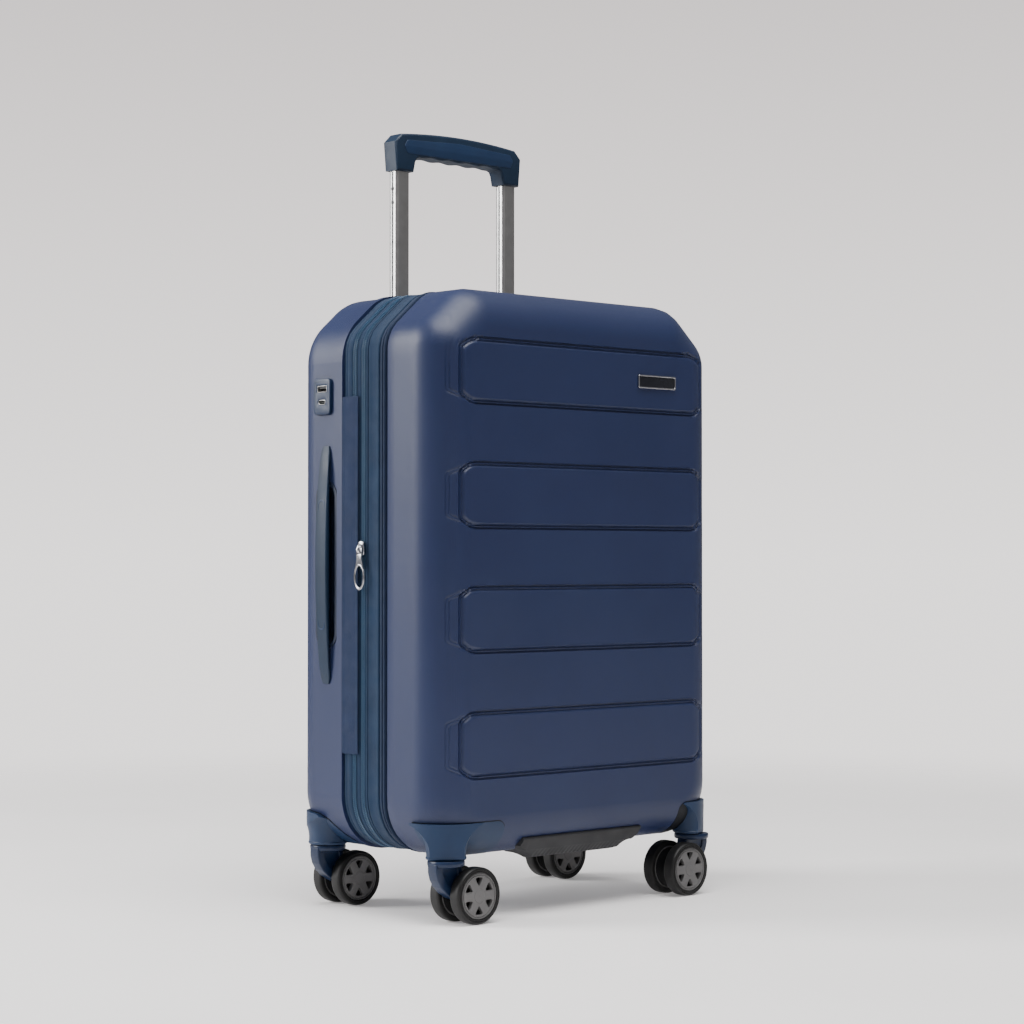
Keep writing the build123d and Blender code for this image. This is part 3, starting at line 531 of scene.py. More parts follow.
def side_stretch(inset, piece, share):
    """A point and its outward angle on the right side: foot, straight, shoulder arc, slope, shoulder arc."""
    wide, bottom, foot, radius, lower, upper = outline_sizes(inset)
    slope = Vector((-sin(SLOPE_ANGLE), cos(SLOPE_ANGLE)))
    first = radius * tan(SLOPE_ANGLE / 2)
    second = radius * tan((pi / 2 - SLOPE_ANGLE) / 2)
    if piece == 0:
        return arc((wide - foot, bottom + foot), foot, -pi / 2, pi / 2, share)
    if piece == 1:
        top = lower.y - first
        height = STRAIGHT_LOW + (STRAIGHT_HIGH - STRAIGHT_LOW) * share
        if share > 1:
            height = STRAIGHT_HIGH + (top - STRAIGHT_HIGH) * (share - 1)
        return Vector((wide, height)), 0.0
    if piece == 2:
        return arc((wide - radius, lower.y - first), radius, 0, SLOPE_ANGLE, share)
    if piece == 3:
        start = lower + slope * first
        end = upper - slope * second
        return start.lerp(end, share), SLOPE_ANGLE
    return arc((upper.x - second, upper.y - radius), radius, SLOPE_ANGLE, pi / 2 - SLOPE_ANGLE, share)


def side_stations(heights, inset):
    """Finds where on the right side, drawn in by inset, each height lies."""
    stations = []
    foot, radius, lower = outline_sizes(inset)[2:5]
    ends = [side_stretch(inset, piece, 1)[0].y for piece in (0, 2, 3, 4)]
    straight_top = lower.y - radius * tan(SLOPE_ANGLE / 2)
    for height in heights:
        if height < STRAIGHT_LOW:
            stations.append((0, (2 / pi) * (pi / 2 - angle_of(max(0.0, (STRAIGHT_LOW - height)) / foot))))
        elif height <= STRAIGHT_HIGH:
            stations.append((1, (height - STRAIGHT_LOW) / (STRAIGHT_HIGH - STRAIGHT_LOW)))
        elif height < straight_top:
            stations.append((1, 1 + (height - STRAIGHT_HIGH) / (straight_top - STRAIGHT_HIGH)))
        elif height < ends[1]:
            stations.append((2, angle_of((height - straight_top) / radius) / SLOPE_ANGLE))
        elif height < ends[2]:
            stations.append((3, (height - ends[1]) / (ends[2] - ends[1])))
        else:
            rise = sin(SLOPE_ANGLE) + (height - ends[2]) / radius
            stations.append((4, (angle_of(rise) - SLOPE_ANGLE) / (pi / 2 - SLOPE_ANGLE)))
    return stations


def angle_of(sine):
    """The angle from -90 to 90 degrees with this sine, even where it is a little past 1."""
    sine = max(-1.0, min(1.0, sine))
    return atan2(sine, max(0.0, 1 - sine * sine) ** 0.5)


def even_heights(step, inset=0.0):
    """Station heights for a plain band: close together round the corners."""
    bottom, foot = outline_sizes(inset)[1:3]
    heights = [bottom + foot * (1 - cos(k * pi / 2 / 9)) for k in range(9)]
    count = max(2, round((STRAIGHT_HIGH - STRAIGHT_LOW) / step))
    heights += [STRAIGHT_LOW + (STRAIGHT_HIGH - STRAIGHT_LOW) * k / count for k in range(count + 1)]
    start, end = STRAIGHT_HIGH, TOP - inset
    heights += [start + (end - start) * sin(pi / 2 * k / 14) for k in range(1, 15)]
    return heights


def around(stations, columns, inset):
    """Points and outward angles round the whole case: up the right side, over, down and back."""
    right = [side_stretch(inset, piece, share) for piece, share in stations]
    left = [(Vector((-p.x, p.y)), pi - angle) for p, angle in reversed(right)]
    top = [(Vector((right[-1][0].x * f, right[-1][0].y)), pi / 2) for f in reversed(columns)]
    bottom = [(Vector((right[0][0].x * f, right[0][0].y)), -pi / 2) for f in columns]
    return right + top + left + bottom


PLAIN_COLUMNS = [k / 10 for k in range(-9, 10)]
PLAIN_STATIONS = side_stations(even_heights(14 * MM), 0.0)


def ring_at(inset, y, stations=PLAIN_STATIONS, columns=PLAIN_COLUMNS):
    """The outline as points of the scene, drawn in by inset, at one depth."""
    return [(p.x, y, p.y) for p, angle in around(stations, columns, inset)]


def swept(profile):
    """A closed profile of (y, inset), in millimetres, carried round the case."""
    return loft([ring_at(inset * MM, y * MM) for y, inset in profile], along=True)


# ------------------------------------------------------------ front shell
# Four raised panels, each with a double groove round it and a faint echo further round the corner.
PANELS = [(455.5, 510.0), (346.5, 401.0), (237.5, 292.0), (128.0, 183.0)]
FACE_HALF = HALF - FRONT_ROUNDING
INNER_REACH = 11 * MM
INNER_DROP = 7 * MM
ECHO_REACH = 24 * MM
ECHO_DROP = 9 * MM
RIGHT_REACH = 4 * MM
CORNER_BLEND = 3 * MM
GROOVE_PROFILE = (
    (-2.9, 0.0), (-2.5, 1.9), (-1.2, 2.1), (-0.8, 0.7), (-0.1, 0.6), (0.3, 1.8), (1.0, 1.9), (2.9, 0.0),
)
ECHO_PROFILE = ((-2.1, 0.0), (-1.4, 0.8), (-0.7, 0.05), (0.7, 0.05), (1.4, 0.8), (2.1, 0.0))


def profile_depth(profile, distance):
    """Depth of a groove at a distance across it, both in millimetres."""
    if distance <= profile[0][0] or distance >= profile[-1][0]:
        return 0.0
    for (d0, h0), (d1, h1) in zip(profile, profile[1:]):
        if distance <= d1:
            return h0 + (h1 - h0) * (distance - d0) / (d1 - d0)
    return 0.0


def panel_distance(across, height, low, high, reach, drop):
    """How far inside a panel's eight-sided outline a point lies; corners are rounded."""
    slant = hypot(reach, drop)
    sides = [
        high - height,
        height - low,
        FACE_HALF + reach - across,
        ((FACE_HALF - across) * drop + (high - height) * reach) / slant,
        ((FACE_HALF - across) * drop + (height - low) * reach) / slant,
    ]
    sides.sort()
    first, second = sides[0], sides[1]
    overlap = max(0.0, 1 - (second - first) / CORNER_BLEND)
    return first - overlap * overlap * CORNER_BLEND / 4


def groove_depth(across, height):
    """How deep the skin is pressed in at a place on the unrolled front."""
    across = max(-across, across - RIGHT_REACH)
    deepest = 0.0
    for low, high in PANELS:
        low, high = low * MM, high * MM
        if height < low - 4 * MM or height > high + 4 * MM:
            continue
        inner = panel_distance(across, height, low, high, INNER_REACH, INNER_DROP) / MM
        echo = panel_distance(across, height, low, high, ECHO_REACH, ECHO_DROP) / MM
        deepest = max(deepest, profile_depth(GROOVE_PROFILE, inner), profile_depth(ECHO_PROFILE, echo))
    return deepest * MM


def front_heights():
    """Rows of the front shell: at every edge of a groove, and close together beside each one."""
    rows = set()
    for low, high in PANELS:
        for edge, way in ((high, -1), (low, 1)):
            for across, depth in GROOVE_PROFILE:
                rows.add(round(edge + way * across, 2))
            for step in range(10):
                rows.add(round(edge + way * (3.4 + step * 0.9), 2))
            rows.add(round(edge - way * 3.6, 2))
        rows.update((round(low + (high - low) * k / 6, 2) for k in (2, 3, 4)))
    for low, high in ((401, 455.5), (292, 346.5), (183, 237.5)):
        rows.update((round(low + (high - low) * k / 5, 2) for k in (1, 2, 3, 4)))
    foot_bottom = (BOTTOM + FRONT_ROUNDING) / MM
    foot = (FOOT_RADIUS - FRONT_ROUNDING) / MM
    rows.update(round(foot_bottom + foot * (1 - cos(k * pi / 2 / 11)), 2) for k in range(12))
    rows.update((112.0, 118.0))
    face_top = (TOP - FRONT_ROUNDING) / MM
    rows.update((514.5, 516.5, 518.0, 519.0, 519.7, face_top))
    ordered = sorted(rows)
    kept = [ordered[0]]
    for row in ordered[1:]:
        if row - kept[-1] > (0.1 if row < 107 else 0.25):
            kept.append(row)
    return [row * MM for row in kept]


def front_shell():
    """The panelled shell: a fine skin outside, a plain one inside, joined at the open edge."""
    stations = side_stations(front_heights(), FRONT_ROUNDING)
    columns = [k / 12 for k in range(-11, 12)]
    columns = sorted(columns + [0.955, 0.985, -0.955, -0.985])
    flat = around(stations, columns, FRONT_ROUNDING)
    quarter = FRONT_ROUNDING * pi / 2
    reaches = [k * 0.8 * MM for k in range(35)]
    reaches += [reaches[-1] + (quarter - reaches[-1]) * k / 9 for k in range(1, 10)]
    rings = []
    for y in (FRONT_EDGE, FRONT_EDGE - 1.2 * MM, FRONT_EDGE - 12 * MM, FRONT_EDGE - 24 * MM):
        inset = 0.5 * MM if y == FRONT_EDGE else 0.0
        rings.append(ring_at(inset, y, stations, columns))
    for reach in reversed(reaches):
        turn = pi / 2 - reach / FRONT_ROUNDING
        inset = FRONT_ROUNDING * (1 - cos(turn))
        y = FRONT_Y + FRONT_ROUNDING * (1 - sin(turn))
        ring = []
        for (base, angle), (point, ignored) in zip(flat, around(stations, columns, inset)):
            unrolled = base + Vector((cos(angle), sin(angle))) * reach
            depth = groove_depth(unrolled.x, unrolled.y)
            inward = Vector((-cos(angle) * cos(turn), sin(turn), -sin(angle) * cos(turn)))
            ring.append(tuple(Vector((point.x, y, point.y)) + inward * depth))
        rings.append(ring)
    outer = loft(rings)
    face = face_grid(stations, columns, FRONT_ROUNDING, FRONT_Y, groove_depth)
    inside = []
    for y in (FRONT_EDGE, FRONT_EDGE - 24 * MM):
        inside.append(ring_at(WALL, y))
    for k in range(0, 7):
        turn = k * pi / 12
        radius = FRONT_ROUNDING - WALL
        inset = WALL + radius * (1 - cos(turn))
        inside.append(ring_at(inset, FRONT_Y + FRONT_ROUNDING - radius * sin(turn)))
    inner = loft(inside)
    inner_face = face_grid(PLAIN_STATIONS, PLAIN_COLUMNS, FRONT_ROUNDING, FRONT_Y + WALL, None)
    lip = loft([ring_at(0.5 * MM, FRONT_EDGE), ring_at(WALL, FRONT_EDGE)])
    piece = mesh_piece("front_shell_panelled", *merged([outer, face, inner, inner_face, lip]))
    weld(piece, 0.01 * MM)
    return settle(piece, "front_case", SHELL, replaces=["front_shell"])


def face_grid(stations, columns, inset, y, depth):
    """The flat face inside the rounding, as rows between the two sides."""
    rows = []
    shares = [-1.0, *columns, 1.0]
    for piece, share in stations:
        point, angle = side_stretch(inset, piece, share)
        row = []
        for f in shares:
            sunk = depth(point.x * f, point.y) if depth else 0.0
            row.append((point.x * f, y + sunk, point.y))
        rows.append(row)
    return loft(rows, around=False)


def weld(piece, distance):
    """Joins points that lie together, and turns the faces outwards."""
    tidy = bmesh.new()
    tidy.from_mesh(piece.data)
    bmesh.ops.remove_doubles(tidy, verts=tidy.verts, dist=distance)
    bmesh.ops.recalc_face_normals(tidy, faces=tidy.faces)
    tidy.to_mesh(piece.data)
    tidy.free()


front_shell()


# ------------------------------------------------------------ zips, tapes and bindings
MAIN_ZIP = 17.75
EXPANSION_ZIP = 5.5
TOOTH_PITCH = 1.7 * MM


def walk(inset, pitch):
    """Evenly spaced places round the outline: point, direction along it, and direction outwards."""
    line = [p for p, angle in around(PLAIN_STATIONS, PLAIN_COLUMNS, inset)]
    lengths = [(line[(i + 1) % len(line)] - p).length for i, p in enumerate(line)]
    total = sum(lengths)
    count = round(total / pitch)
    step = total / count
    places = []
    i, passed = 0, 0.0
    for k in range(count):
        while passed + lengths[i] < k * step:
            passed += lengths[i]
            i += 1
        start, end = line[i], line[(i + 1) % len(line)]
        along = (end - start).normalized()
        places.append((start.lerp(end, (k * step - passed) / lengths[i]), along, Vector((along.y, -along.x))))
    return places


def coil(zip_y, way, shift):
    """One side of a zip's coil: slanted nylon teeth, each hooked towards the other side."""
    parts = []
    for point, along, out in walk(1.3 * MM, TOOTH_PITCH):
        rings = []
        for reach, grow, slant in ((2.75, 0.5, 0.34), (2.35, 0.95, 0.28), (0.8, 1.0, 0.05), (0.16, 0.6, 0.0)):
            middle = point + along * (shift + slant) * TOOTH_PITCH
            ring = []
            for across, up in ellipse(0, 0, 0.62 * MM * grow, 0.72 * MM * grow, 6):
                spot = middle + along * across + out * (up + 0.35 * MM)
                ring.append((spot.x, (zip_y + way * reach) * MM, spot.y))
            rings.append(ring)
        parts.append(capped(rings))
    return merged(parts)


# Each tape's body, the line of its zip, which way its teeth reach, and its profile of (y, inset).
TAPES = {
    "main_zip_rear": (
        "back_case", MAIN_ZIP, 1,
        [(33.5, 1.7), (32.9, 2.6), (32.1, 2.6), (31.6, 1.2), (29.6, 0.95), (28.9, 1.1), (28.5, 1.35),
         (28.0, 1.05), (23.0, 0.95), (22.4, 1.2), (21.8, 0.8), (21.3, 1.0), (20.8, 2.0), (19.4, 2.3),
         (18.2, 2.4), (18.2, 3.0), (33.5, 3.0)],
    ),
    "zip_band": (
        "lid_frame", MAIN_ZIP, -1,
        [(17.3, 2.4), (16.1, 2.3), (14.8, 2.0), (14.2, 1.0), (13.8, 0.8), (13.1, 1.1), (11.4, 1.0),
         (10.4, 1.2), (9.9, 1.5), (9.2, 1.2), (8.8, 1.4), (8.4, 2.1), (7.2, 2.3), (6.4, 2.4), (5.8, 2.4),
         (5.8, 3.0), (17.3, 3.0)],
    ),
    "expansion_band": (
        "front_case", EXPANSION_ZIP, -1,
        [(5.2, 2.4), (4.0, 2.3), (2.7, 2.1), (2.1, 1.0), (0.1, 0.95), (-0.3, 2.3), (-1.0, 2.3),
         (-1.4, 1.0), (-2.4, 0.75), (-3.2, 1.05), (-13.2, 1.0), (-13.9, 0.75), (-15.2, 1.0), (-15.8, 1.8),
         (-15.8, 3.0), (5.2, 3.0)],
    ),
}


# The cloth that holds the front shell, with its piping between two sewn channels.
BINDING_PROFILE = [
    (-15.8, 2.4), (-16.4, 2.9), (-17.0, 1.4), (-18.6, 1.2), (-19.4, 1.4), (-20.2, 2.8), (-21.4, 2.8),
    (-22.0, 1.0), (-22.4, 0.3), (-23.0, -0.15), (-23.6, -0.3), (-24.2, -0.15), (-24.8, 0.3), (-25.1, 1.0),
    (-25.7, 2.9), (-26.9, 2.9), (-27.3, 1.4), (-28.0, 1.1), (-28.0, 3.0), (-15.8, 3.0),
]


def zips():
    """The tapes with their coils, and the binding; two coils that meet are half a tooth apart."""
    for name, (body, zip_y, way, profile) in TAPES.items():
        put(f"{name}_tape", swept(profile), body, TAPE, [name])
        put(f"{name}_coil", coil(zip_y, way, 0.5 if way > 0 else 0.0), body, COIL, smooth=50)
    put("expansion_coil_rear", coil(EXPANSION_ZIP, 1, 0.5), "lid_frame", COIL, smooth=50)
    put("front_edge_binding", swept(BINDING_PROFILE), "front_case", BINDING, ["front_binding"])


zips()

# ------------------------------------------------------------ wheels, forks and corner guards
# Each caster's stem, in millimetres, and the way along X that its wheels trail.
CORNERS = {
    "front_left": (-156, -82, 1), "front_right": (156, -82, -1),
    "rear_left": (-156, 82, 1), "rear_right": (156, 82, -1),
}
TRAIL = 22
AXLE_HEIGHT = 25
TYRE_INNER = 6.9
TYRE_OUTLINE = (
    (20.2, 0.5), (21.0, 0.3), (23.2, 0.35), (24.3, 1.0), (24.9, 2.1), (25.0, 3.2), (25.0, 9.6), (24.8, 10.9),
    (24.0, 12.0), (22.9, 12.45), (22.4, 12.3), (22.2, 11.9), (21.9, 11.9), (21.7, 12.4), (21.0, 12.6),
    (20.3, 12.3), (20.2, 11.6),
)
HUB_OUTLINE = (
    (2.7, 0.6), (19.4, 0.6), (20.2, 1.2), (20.2, 10.9), (19.8, 12.0), (19.3, 12.15), (18.9, 11.9),
    (18.5, 11.2), (17.9, 11.2), (2.7, 11.2),
)


def wheel(corner, number, outward):
    """A tyre on a hub with six windows, a near-black web behind them as painted shade, and a cap over the axle."""
    x, y, trail = CORNERS[corner]
    inner = y + outward * TYRE_INNER
    place_of = basis(((x + trail * TRAIL) * MM, inner * MM, AXLE_HEIGHT * MM), (1, 0, 0), (0, outward, 0))
    body = f"{corner}_wheel_{number}"
    tyre = lathe(TYRE_OUTLINE, place_of, 96)
    put(f"{body}_tyre", tyre, body, TYRE, [f"{corner}_tyre_{number}"], 30)

    up = -1 if outward > 0 else 1
    holes = []
    for k in range(6):
        turn = pi / 2 * up + k * pi / 3
        spoke = Vector((cos(turn), sin(turn)))
        aside = Vector((-spoke.y, spoke.x))
        corners = [spoke * 8.0, spoke * 16.2 + aside * 5.0, spoke * 16.2 - aside * 5.0]
        holes.append(rounded([tuple(c) for c in corners], [1.0, 1.4, 1.4]))
    face = plate([ellipse(0, 0, 17.9, 17.9, 72), *holes], 4.4, 0.35, above(place_of, 9.75))
    rim = lathe([p for p in HUB_OUTLINE if p[0] > 17] + [(17.6, 11.0), (17.6, 1.6)], place_of, 96)
    cap = lathe([(0.3, 11.0), (5.4, 11.0), (5.9, 11.95), (5.5, 12.25), (0.3, 12.3)], place_of, 48)
    put(f"{body}_hub", merged([face, rim]), body, HUB, [f"{corner}_hub_{number}"], 30)
    turned = [place_of @ Matrix.Rotation(k * pi / 3 + pi / 6, 4, "Z") for k in range(6)]
    ribs = [brick((-0.6, 5, 1.2), (0.6, 17.5, 8.4), 0, turn) for turn in turned]
    core = lathe([(2.7, 0.7), (18.5, 0.7), (18.5, 3.0), (6.2, 3.0), (6.2, 7.6), (2.7, 7.6)], place_of, 64)
    # the web is coloured near-black as painted shade for the hollow behind the hub's windows
    put(f"{body}_web", merged([core, *ribs]), body, HUB_RECESS_SHADE, smooth=30)
    put(f"{body}_cap", cap, body, HUB, smooth=30)


# The fork seen from its side, X towards the wheels, and the hollow pressed into both its faces.
FORK_OUTLINE = rounded(
    [(-16.3, 54.0), (-16.2, 46.5), (-14.4, 40), (-10.6, 33.6), (-5, 28.2), (2, 23.6), (9, 20.6), (15, 19.2),
     (22, 18.4), (27.8, 21.2), (28.4, 27.6), (21, 37), (14.6, 44), (12.6, 54.0)],
    [0.6, 4, 6, 6, 6, 6, 6, 3, 4, 3, 3, 5, 3, 0.6], 4)
DENT_OUTLINE = rounded(
    [(-9.6, 50.2), (-8.8, 44), (-3, 35.4), (5.2, 29.8), (12.6, 28.6), (14.6, 33.6), (9.8, 41), (8.8, 50.2)],
    2, 4)
DISC_OUTLINE = ((0.4, 51.2), (14.6, 51.2), (16.0, 51.8), (16.4, 52.8), (16.4, 55.4), (15.9, 56.2), (0.4, 56.3))
AXLE_OUTLINE = ((0.2, -18.6), (1.9, -18.6), (2.5, -18.1), (2.5, 18.1), (1.9, 18.6), (0.2, 18.6))
FORK_WIDTH = 12.2


def fork(corner):
    """A turntable, the curved web down to the axle with a dent in each face, the axle and the stem."""
    x, y, trail = CORNERS[corner]
    body = f"{corner}_caster"
    plan = upright(x, y)
    disc = lathe(DISC_OUTLINE, plan, 72)
    at = basis((x * MM, y * MM, 0), (trail, 0, 0), (0, -trail, 0))
    web = plate([FORK_OUTLINE], FORK_WIDTH, 1.1, at, 3)
    for side in (-1, 1):
        web = carve(web, plate([DENT_OUTLINE], 3.6, 0.5, above(at, side * 6.6), 2))
    put(f"{body}_fork", merged([disc, web]), body, FORK, [f"{corner}_fork"])
    across = basis(((x + trail * TRAIL) * MM, y * MM, AXLE_HEIGHT * MM), (1, 0, 0), (0, 1, 0))
    axle = lathe(AXLE_OUTLINE, across, 32)
    collars = []
    for side in (-1, 1):
        near, far = side * 5.2, side * 6.7
        collars.append(lathe([(2.5, near), (4.0, near), (3.8, far), (2.5, far)], across, 32))
    stem = lathe([(0.2, 56.2), (4.0, 56.2), (4.0, 61.6), (3.4, 62.4), (0.2, 62.4)], plan, 32)
    put(f"{body}_pins", merged([axle, stem, *collars]), body, STEEL)


# How near the middle each guard reaches along the face, and where its skin stands on the sides.
GUARD_REACH = {"front_left": 100, "front_right": 124, "rear_left": 118, "rear_right": 118}
SKIN = 178.3


def guard_outline(corner, inset):
    """The guard's plan at one level: out along the side, round the corner and in along the face."""
    x, y = CORNERS[corner][:2]
    side, end = (1 if x > 0 else -1), (1 if y > 0 else -1)
    rear = end > 0
    outer = SKIN - inset
    face = (101.0 if rear else 98.5) - inset
    radius = (BACK_ROUNDING if rear else FRONT_ROUNDING) / MM - inset
    edge = 41.6 if rear else 58.5
    reach = GUARD_REACH[corner]
    outline = [(outer, edge)]
    outline += [(outer, edge + (face - radius - edge) * k / 4) for k in (1, 2, 3)]
    for k in range(15):
        turn = k * pi / 28
        outline.append((outer - radius + radius * cos(turn), face - radius + radius * sin(turn)))
    outline += [(outer - radius + (reach - outer + radius) * k / 6, face) for k in range(1, 7)]
    outline += [(reach, edge)]
    return [(side * px, end * py) for px, py in outline]


def guard_mask(corner, grow):
    """The region that a guard covers, seen from its side or from the front, as a solid to keep."""
    x, y = CORNERS[corner][:2]
    side, end = (1 if x > 0 else -1), (1 if y > 0 else -1)
    reach = GUARD_REACH[corner] - grow
    if end > 0:
        top = 88 + grow
        outline = [
            (140, 40), (140, top), (101, top), (84, 87.6 + grow), (71, 86 + grow), (61.5 - grow, 81.5 + grow),
            (54 - grow, 73.5 + grow), (46.5 - grow, 63 + grow), (40.5 - grow, 55), (38 - grow, 40),
        ]
        from_side = basis((0, 0, 0), (0, 1, 0), (1, 0, 0))
        curve = rounded(outline, 3.0, 4)
        return capped([seen_on(from_side, curve, px) for px in (side * reach, side * 200)])
    outline = [(reach, 40), (reach, 88 + grow), (200, 88 + grow), (200, 40)]
    from_front = basis((0, 0, 0), (1, 0, 0), (0, -1, 0))
    curve = rounded([(side * px, pz) for px, pz in outline], 9 + grow, 8)
    return capped([seen_on(from_front, curve, py) for py in ((58.6 - grow) * -end, 140)])


def case_skin(rear, inset):
    """One half of the case as a plain closed body, drawn in by inset millimetres."""
    rounding = BACK_ROUNDING if rear else FRONT_ROUNDING
    way = 1 if rear else -1
    start = BACK_Y - rounding if rear else FRONT_Y + rounding
    inset = inset * MM
    rings = [ring_at(inset, start - way * 40 * MM)]
    for k in range(13):
        turn = k * pi / 24
        radius = rounding - inset
        rings.append(ring_at(inset + radius * (1 - cos(turn)), start + way * radius * sin(turn)))
    return capped(rings)


# The flare from the caster up into the case, as (radius, height), and how the cover draws in below.
TURRET_OUTLINE = (
    (4.2, 57.0), (17.0, 57.0), (17.6, 57.4), (17.9, 58.2), (17.9, 59.0), (17.4, 59.8), (17.4, 64), (17.8, 68),
    (18.8, 72), (20.6, 76), (23.4, 80), (27.5, 84), (33, 87), (33, 95), (4.2, 95),
)
GUARD_LEVELS = ((57.0, 1.2), (57.4, 0.5), (58.2, 0.0), (70.0, 0.0), (82.0, -0.2), (96.0, -0.2))


def guard(corner):
    """A corner cover lying almost flush on the case, and a near-black skin round it, painted shade for the gap of
    the seam.
    """
    x, y = CORNERS[corner][:2]
    rear = y > 0
    body = "back_case" if rear else "front_case"
    plan = upright(x, y)
    inner = case_skin(rear, 0.5)
    # the second pass is painted shade: a near-black skin, grown past the guard and almost flush, for the shade in
    # the seam's gap
    for name, grow, proud in (("guard", 0.0, 0.6), ("seam", 0.9, 0.22)):
        levels = [(guard_outline(corner, inset - proud + 0.3), z) for z, inset in GUARD_LEVELS]
        region = capped([[(px * MM, py * MM, z * MM) for px, py in outline] for outline, z in levels])
        region = carve(region, guard_mask(corner, grow), "INTERSECT")
        cover = carve(region, case_skin(rear, -proud), "INTERSECT")
        if name == "guard":
            turret = lathe(TURRET_OUTLINE, plan, 72)
            cover = carve(cover, carve(turret, region, "INTERSECT"), "UNION")
        cover = carve(cover, inner)
        if name == "guard":
            cover = carve(cover, lathe([(0.1, 50.0), (4.2, 50.0), (4.2, 63.6), (0.1, 63.6)], plan, 32))
            put(f"{corner}_guard", cover, body, GUARD, [f"{corner}_guard"], 30)
        else:
            put(f"{corner}_seam", cover, body, SEAM_SHADE, smooth=30)


for corner in CORNERS:
    wheel(corner, 1, -1)
    wheel(corner, 2, 1)
    fork(corner)
    guard(corner)

# ------------------------------------------------------------ the telescopic handle
GRIP_Y = 85
TUBE_X = 68.4
GRIP_CROWN = 724.0
GRIP_ARCH = 73
BUTTON_MIDDLE = 718.4
HANDLE_PLANE = basis((0, GRIP_Y * MM, 0), (1, 0, 0), (0, 0, 1))


def grip_edge(across):
    """Height of the grip's underside between the tubes, with shallow finger waves."""
    wave = 0.55 * (1 - cos(2 * pi * (across + 46) / 23)) if abs(across) < 46 else 0.0
    return 699.2 + wave


def grip():
    """The bar: arched top, cut corners, waved underside, rounded all round, with a bed for the button."""
    crown = [GRIP_ARCH - 2 * GRIP_ARCH * k / 24 for k in range(25)]
    top = [(x, GRIP_CROWN - 4.2 * (x / GRIP_ARCH) ** 2) for x in crown]
    under = [(x, grip_edge(x)) for x in range(-50, 51, 2)]
    outline = [
        (78.6, 684.7), (80.9, 712.0), *top, (-80.9, 712.0), (-78.6, 684.7), (-57.6, 684.7), (-55.4, 694.5),
        (-53.5, 698.0), *under, (53.5, 698.0), (55.4, 694.5), (57.6, 684.7),
    ]
    facing = basis((0, GRIP_Y * MM, 0), (1, 0, 0), (0, -1, 0))
    bar = plate([outline], 19.0, 2.4, facing, 4)
    slot = oblong(17.5, 4.9, 4.8, 6)
    bar = carve(bar, capped([seen_on(HANDLE_PLANE, slot, z) for z in (708.2, 740)]))
    for side in (-1, 1):
        socket = oblong(8.4, 6.15, 3, 4, side * TUBE_X)
        bar = carve(bar, capped([seen_on(HANDLE_PLANE, socket, z) for z in (680, 696.6)]))
    put("grip_bar", bar, "handle_top_stage", SOFT, ["grip"])
    inlay = [(-66, 701.6), (66, 701.6), (70, 708.5), (66, 714.6), (0, 717.8), (-66, 714.6), (-70, 708.5)]
    insert = plate([rounded(inlay, 2.4, 3)], 0.9, 0.35, above(facing, 9.35), 2)
    put("grip_insert", insert, "handle_top_stage", GUARD)


def push_button():
    """A cap with four ribs, and under it the yoke with a rod down each tube."""
    up = basis((0, GRIP_Y * MM, BUTTON_MIDDLE * MM), (1, 0, 0), (0, 0, 1))
    cap = plate([oblong(17, 4.5, 4.4, 6)], 12.4, 1.1, above(up, -0.2), 3)
    bars = [plate([oblong(0.5, 3, 0.4, 2, -3.4 + 3 * k)], 0.7, 0.2, above(up, 6.05), 1) for k in range(4)]
    yoke = brick((-70.9, GRIP_Y - 2.5, 708), (70.9, GRIP_Y + 2.5, 712))
    rods = []
    for side in (-1, 1):
        plan = upright(side * TUBE_X, GRIP_Y)
        rods.append(lathe([(0.2, 378), (1.7, 378), (2.0, 378.5), (2.0, 709), (0.2, 709)], plan, 20))
    put("button_cap", merged([cap, *bars]), "grip_push_button", DARK, ["grip_button"])
    put("button_rods", merged([yoke, *rods]), "grip_push_button", STEEL)


def spring():
    """A small conical coil under the yoke, made in its rest shape and not flattened as the button goes down."""
    low, high = 702.55, 707.6
    turns, steps, wire = 3, 96, 0.32
    rings = []
    for k in range(steps + 1):
        share = k / steps
        angle = 2 * pi * turns * share
        spine = low + (high - low) * share
        ring = []
        for reach, rise in ellipse(2.2 - 0.9 * share, 0, wire, wire, 10):
            ring.append((reach * cos(angle) * MM, (GRIP_Y + reach * sin(angle)) * MM, (spine + rise) * MM))
        rings.append(ring)
    piece = put("coil_spring", capped(rings), None, STEEL, ["button_spring"], 60)
    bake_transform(piece)


TUBE_WALL = 1.2
TUBE_CORNER = 3.0
TUBE_LIP = 0.35


def tube_shape(size, foot, top):
    """One hollow rounded rectangular tube with softened ends, standing on the handle's line."""
    wide, deep = size[0] / 2, size[1] / 2
    rings = []
    stages = [
        (foot + TUBE_LIP, 0), (top - TUBE_LIP, 0), (top, -TUBE_LIP), (top, -TUBE_WALL + 0.2),
        (top - TUBE_LIP, -TUBE_WALL), (foot + TUBE_LIP, -TUBE_WALL), (foot, -TUBE_WALL + 0.2),
        (foot, -TUBE_LIP),
    ]
    for z, grow in stages:
        outline = oblong(wide + grow, deep + grow, max(0.8, TUBE_CORNER + grow), 6)
        rings.append([(px, py, z) for px, py in outline])
    return loft(rings, along=True)


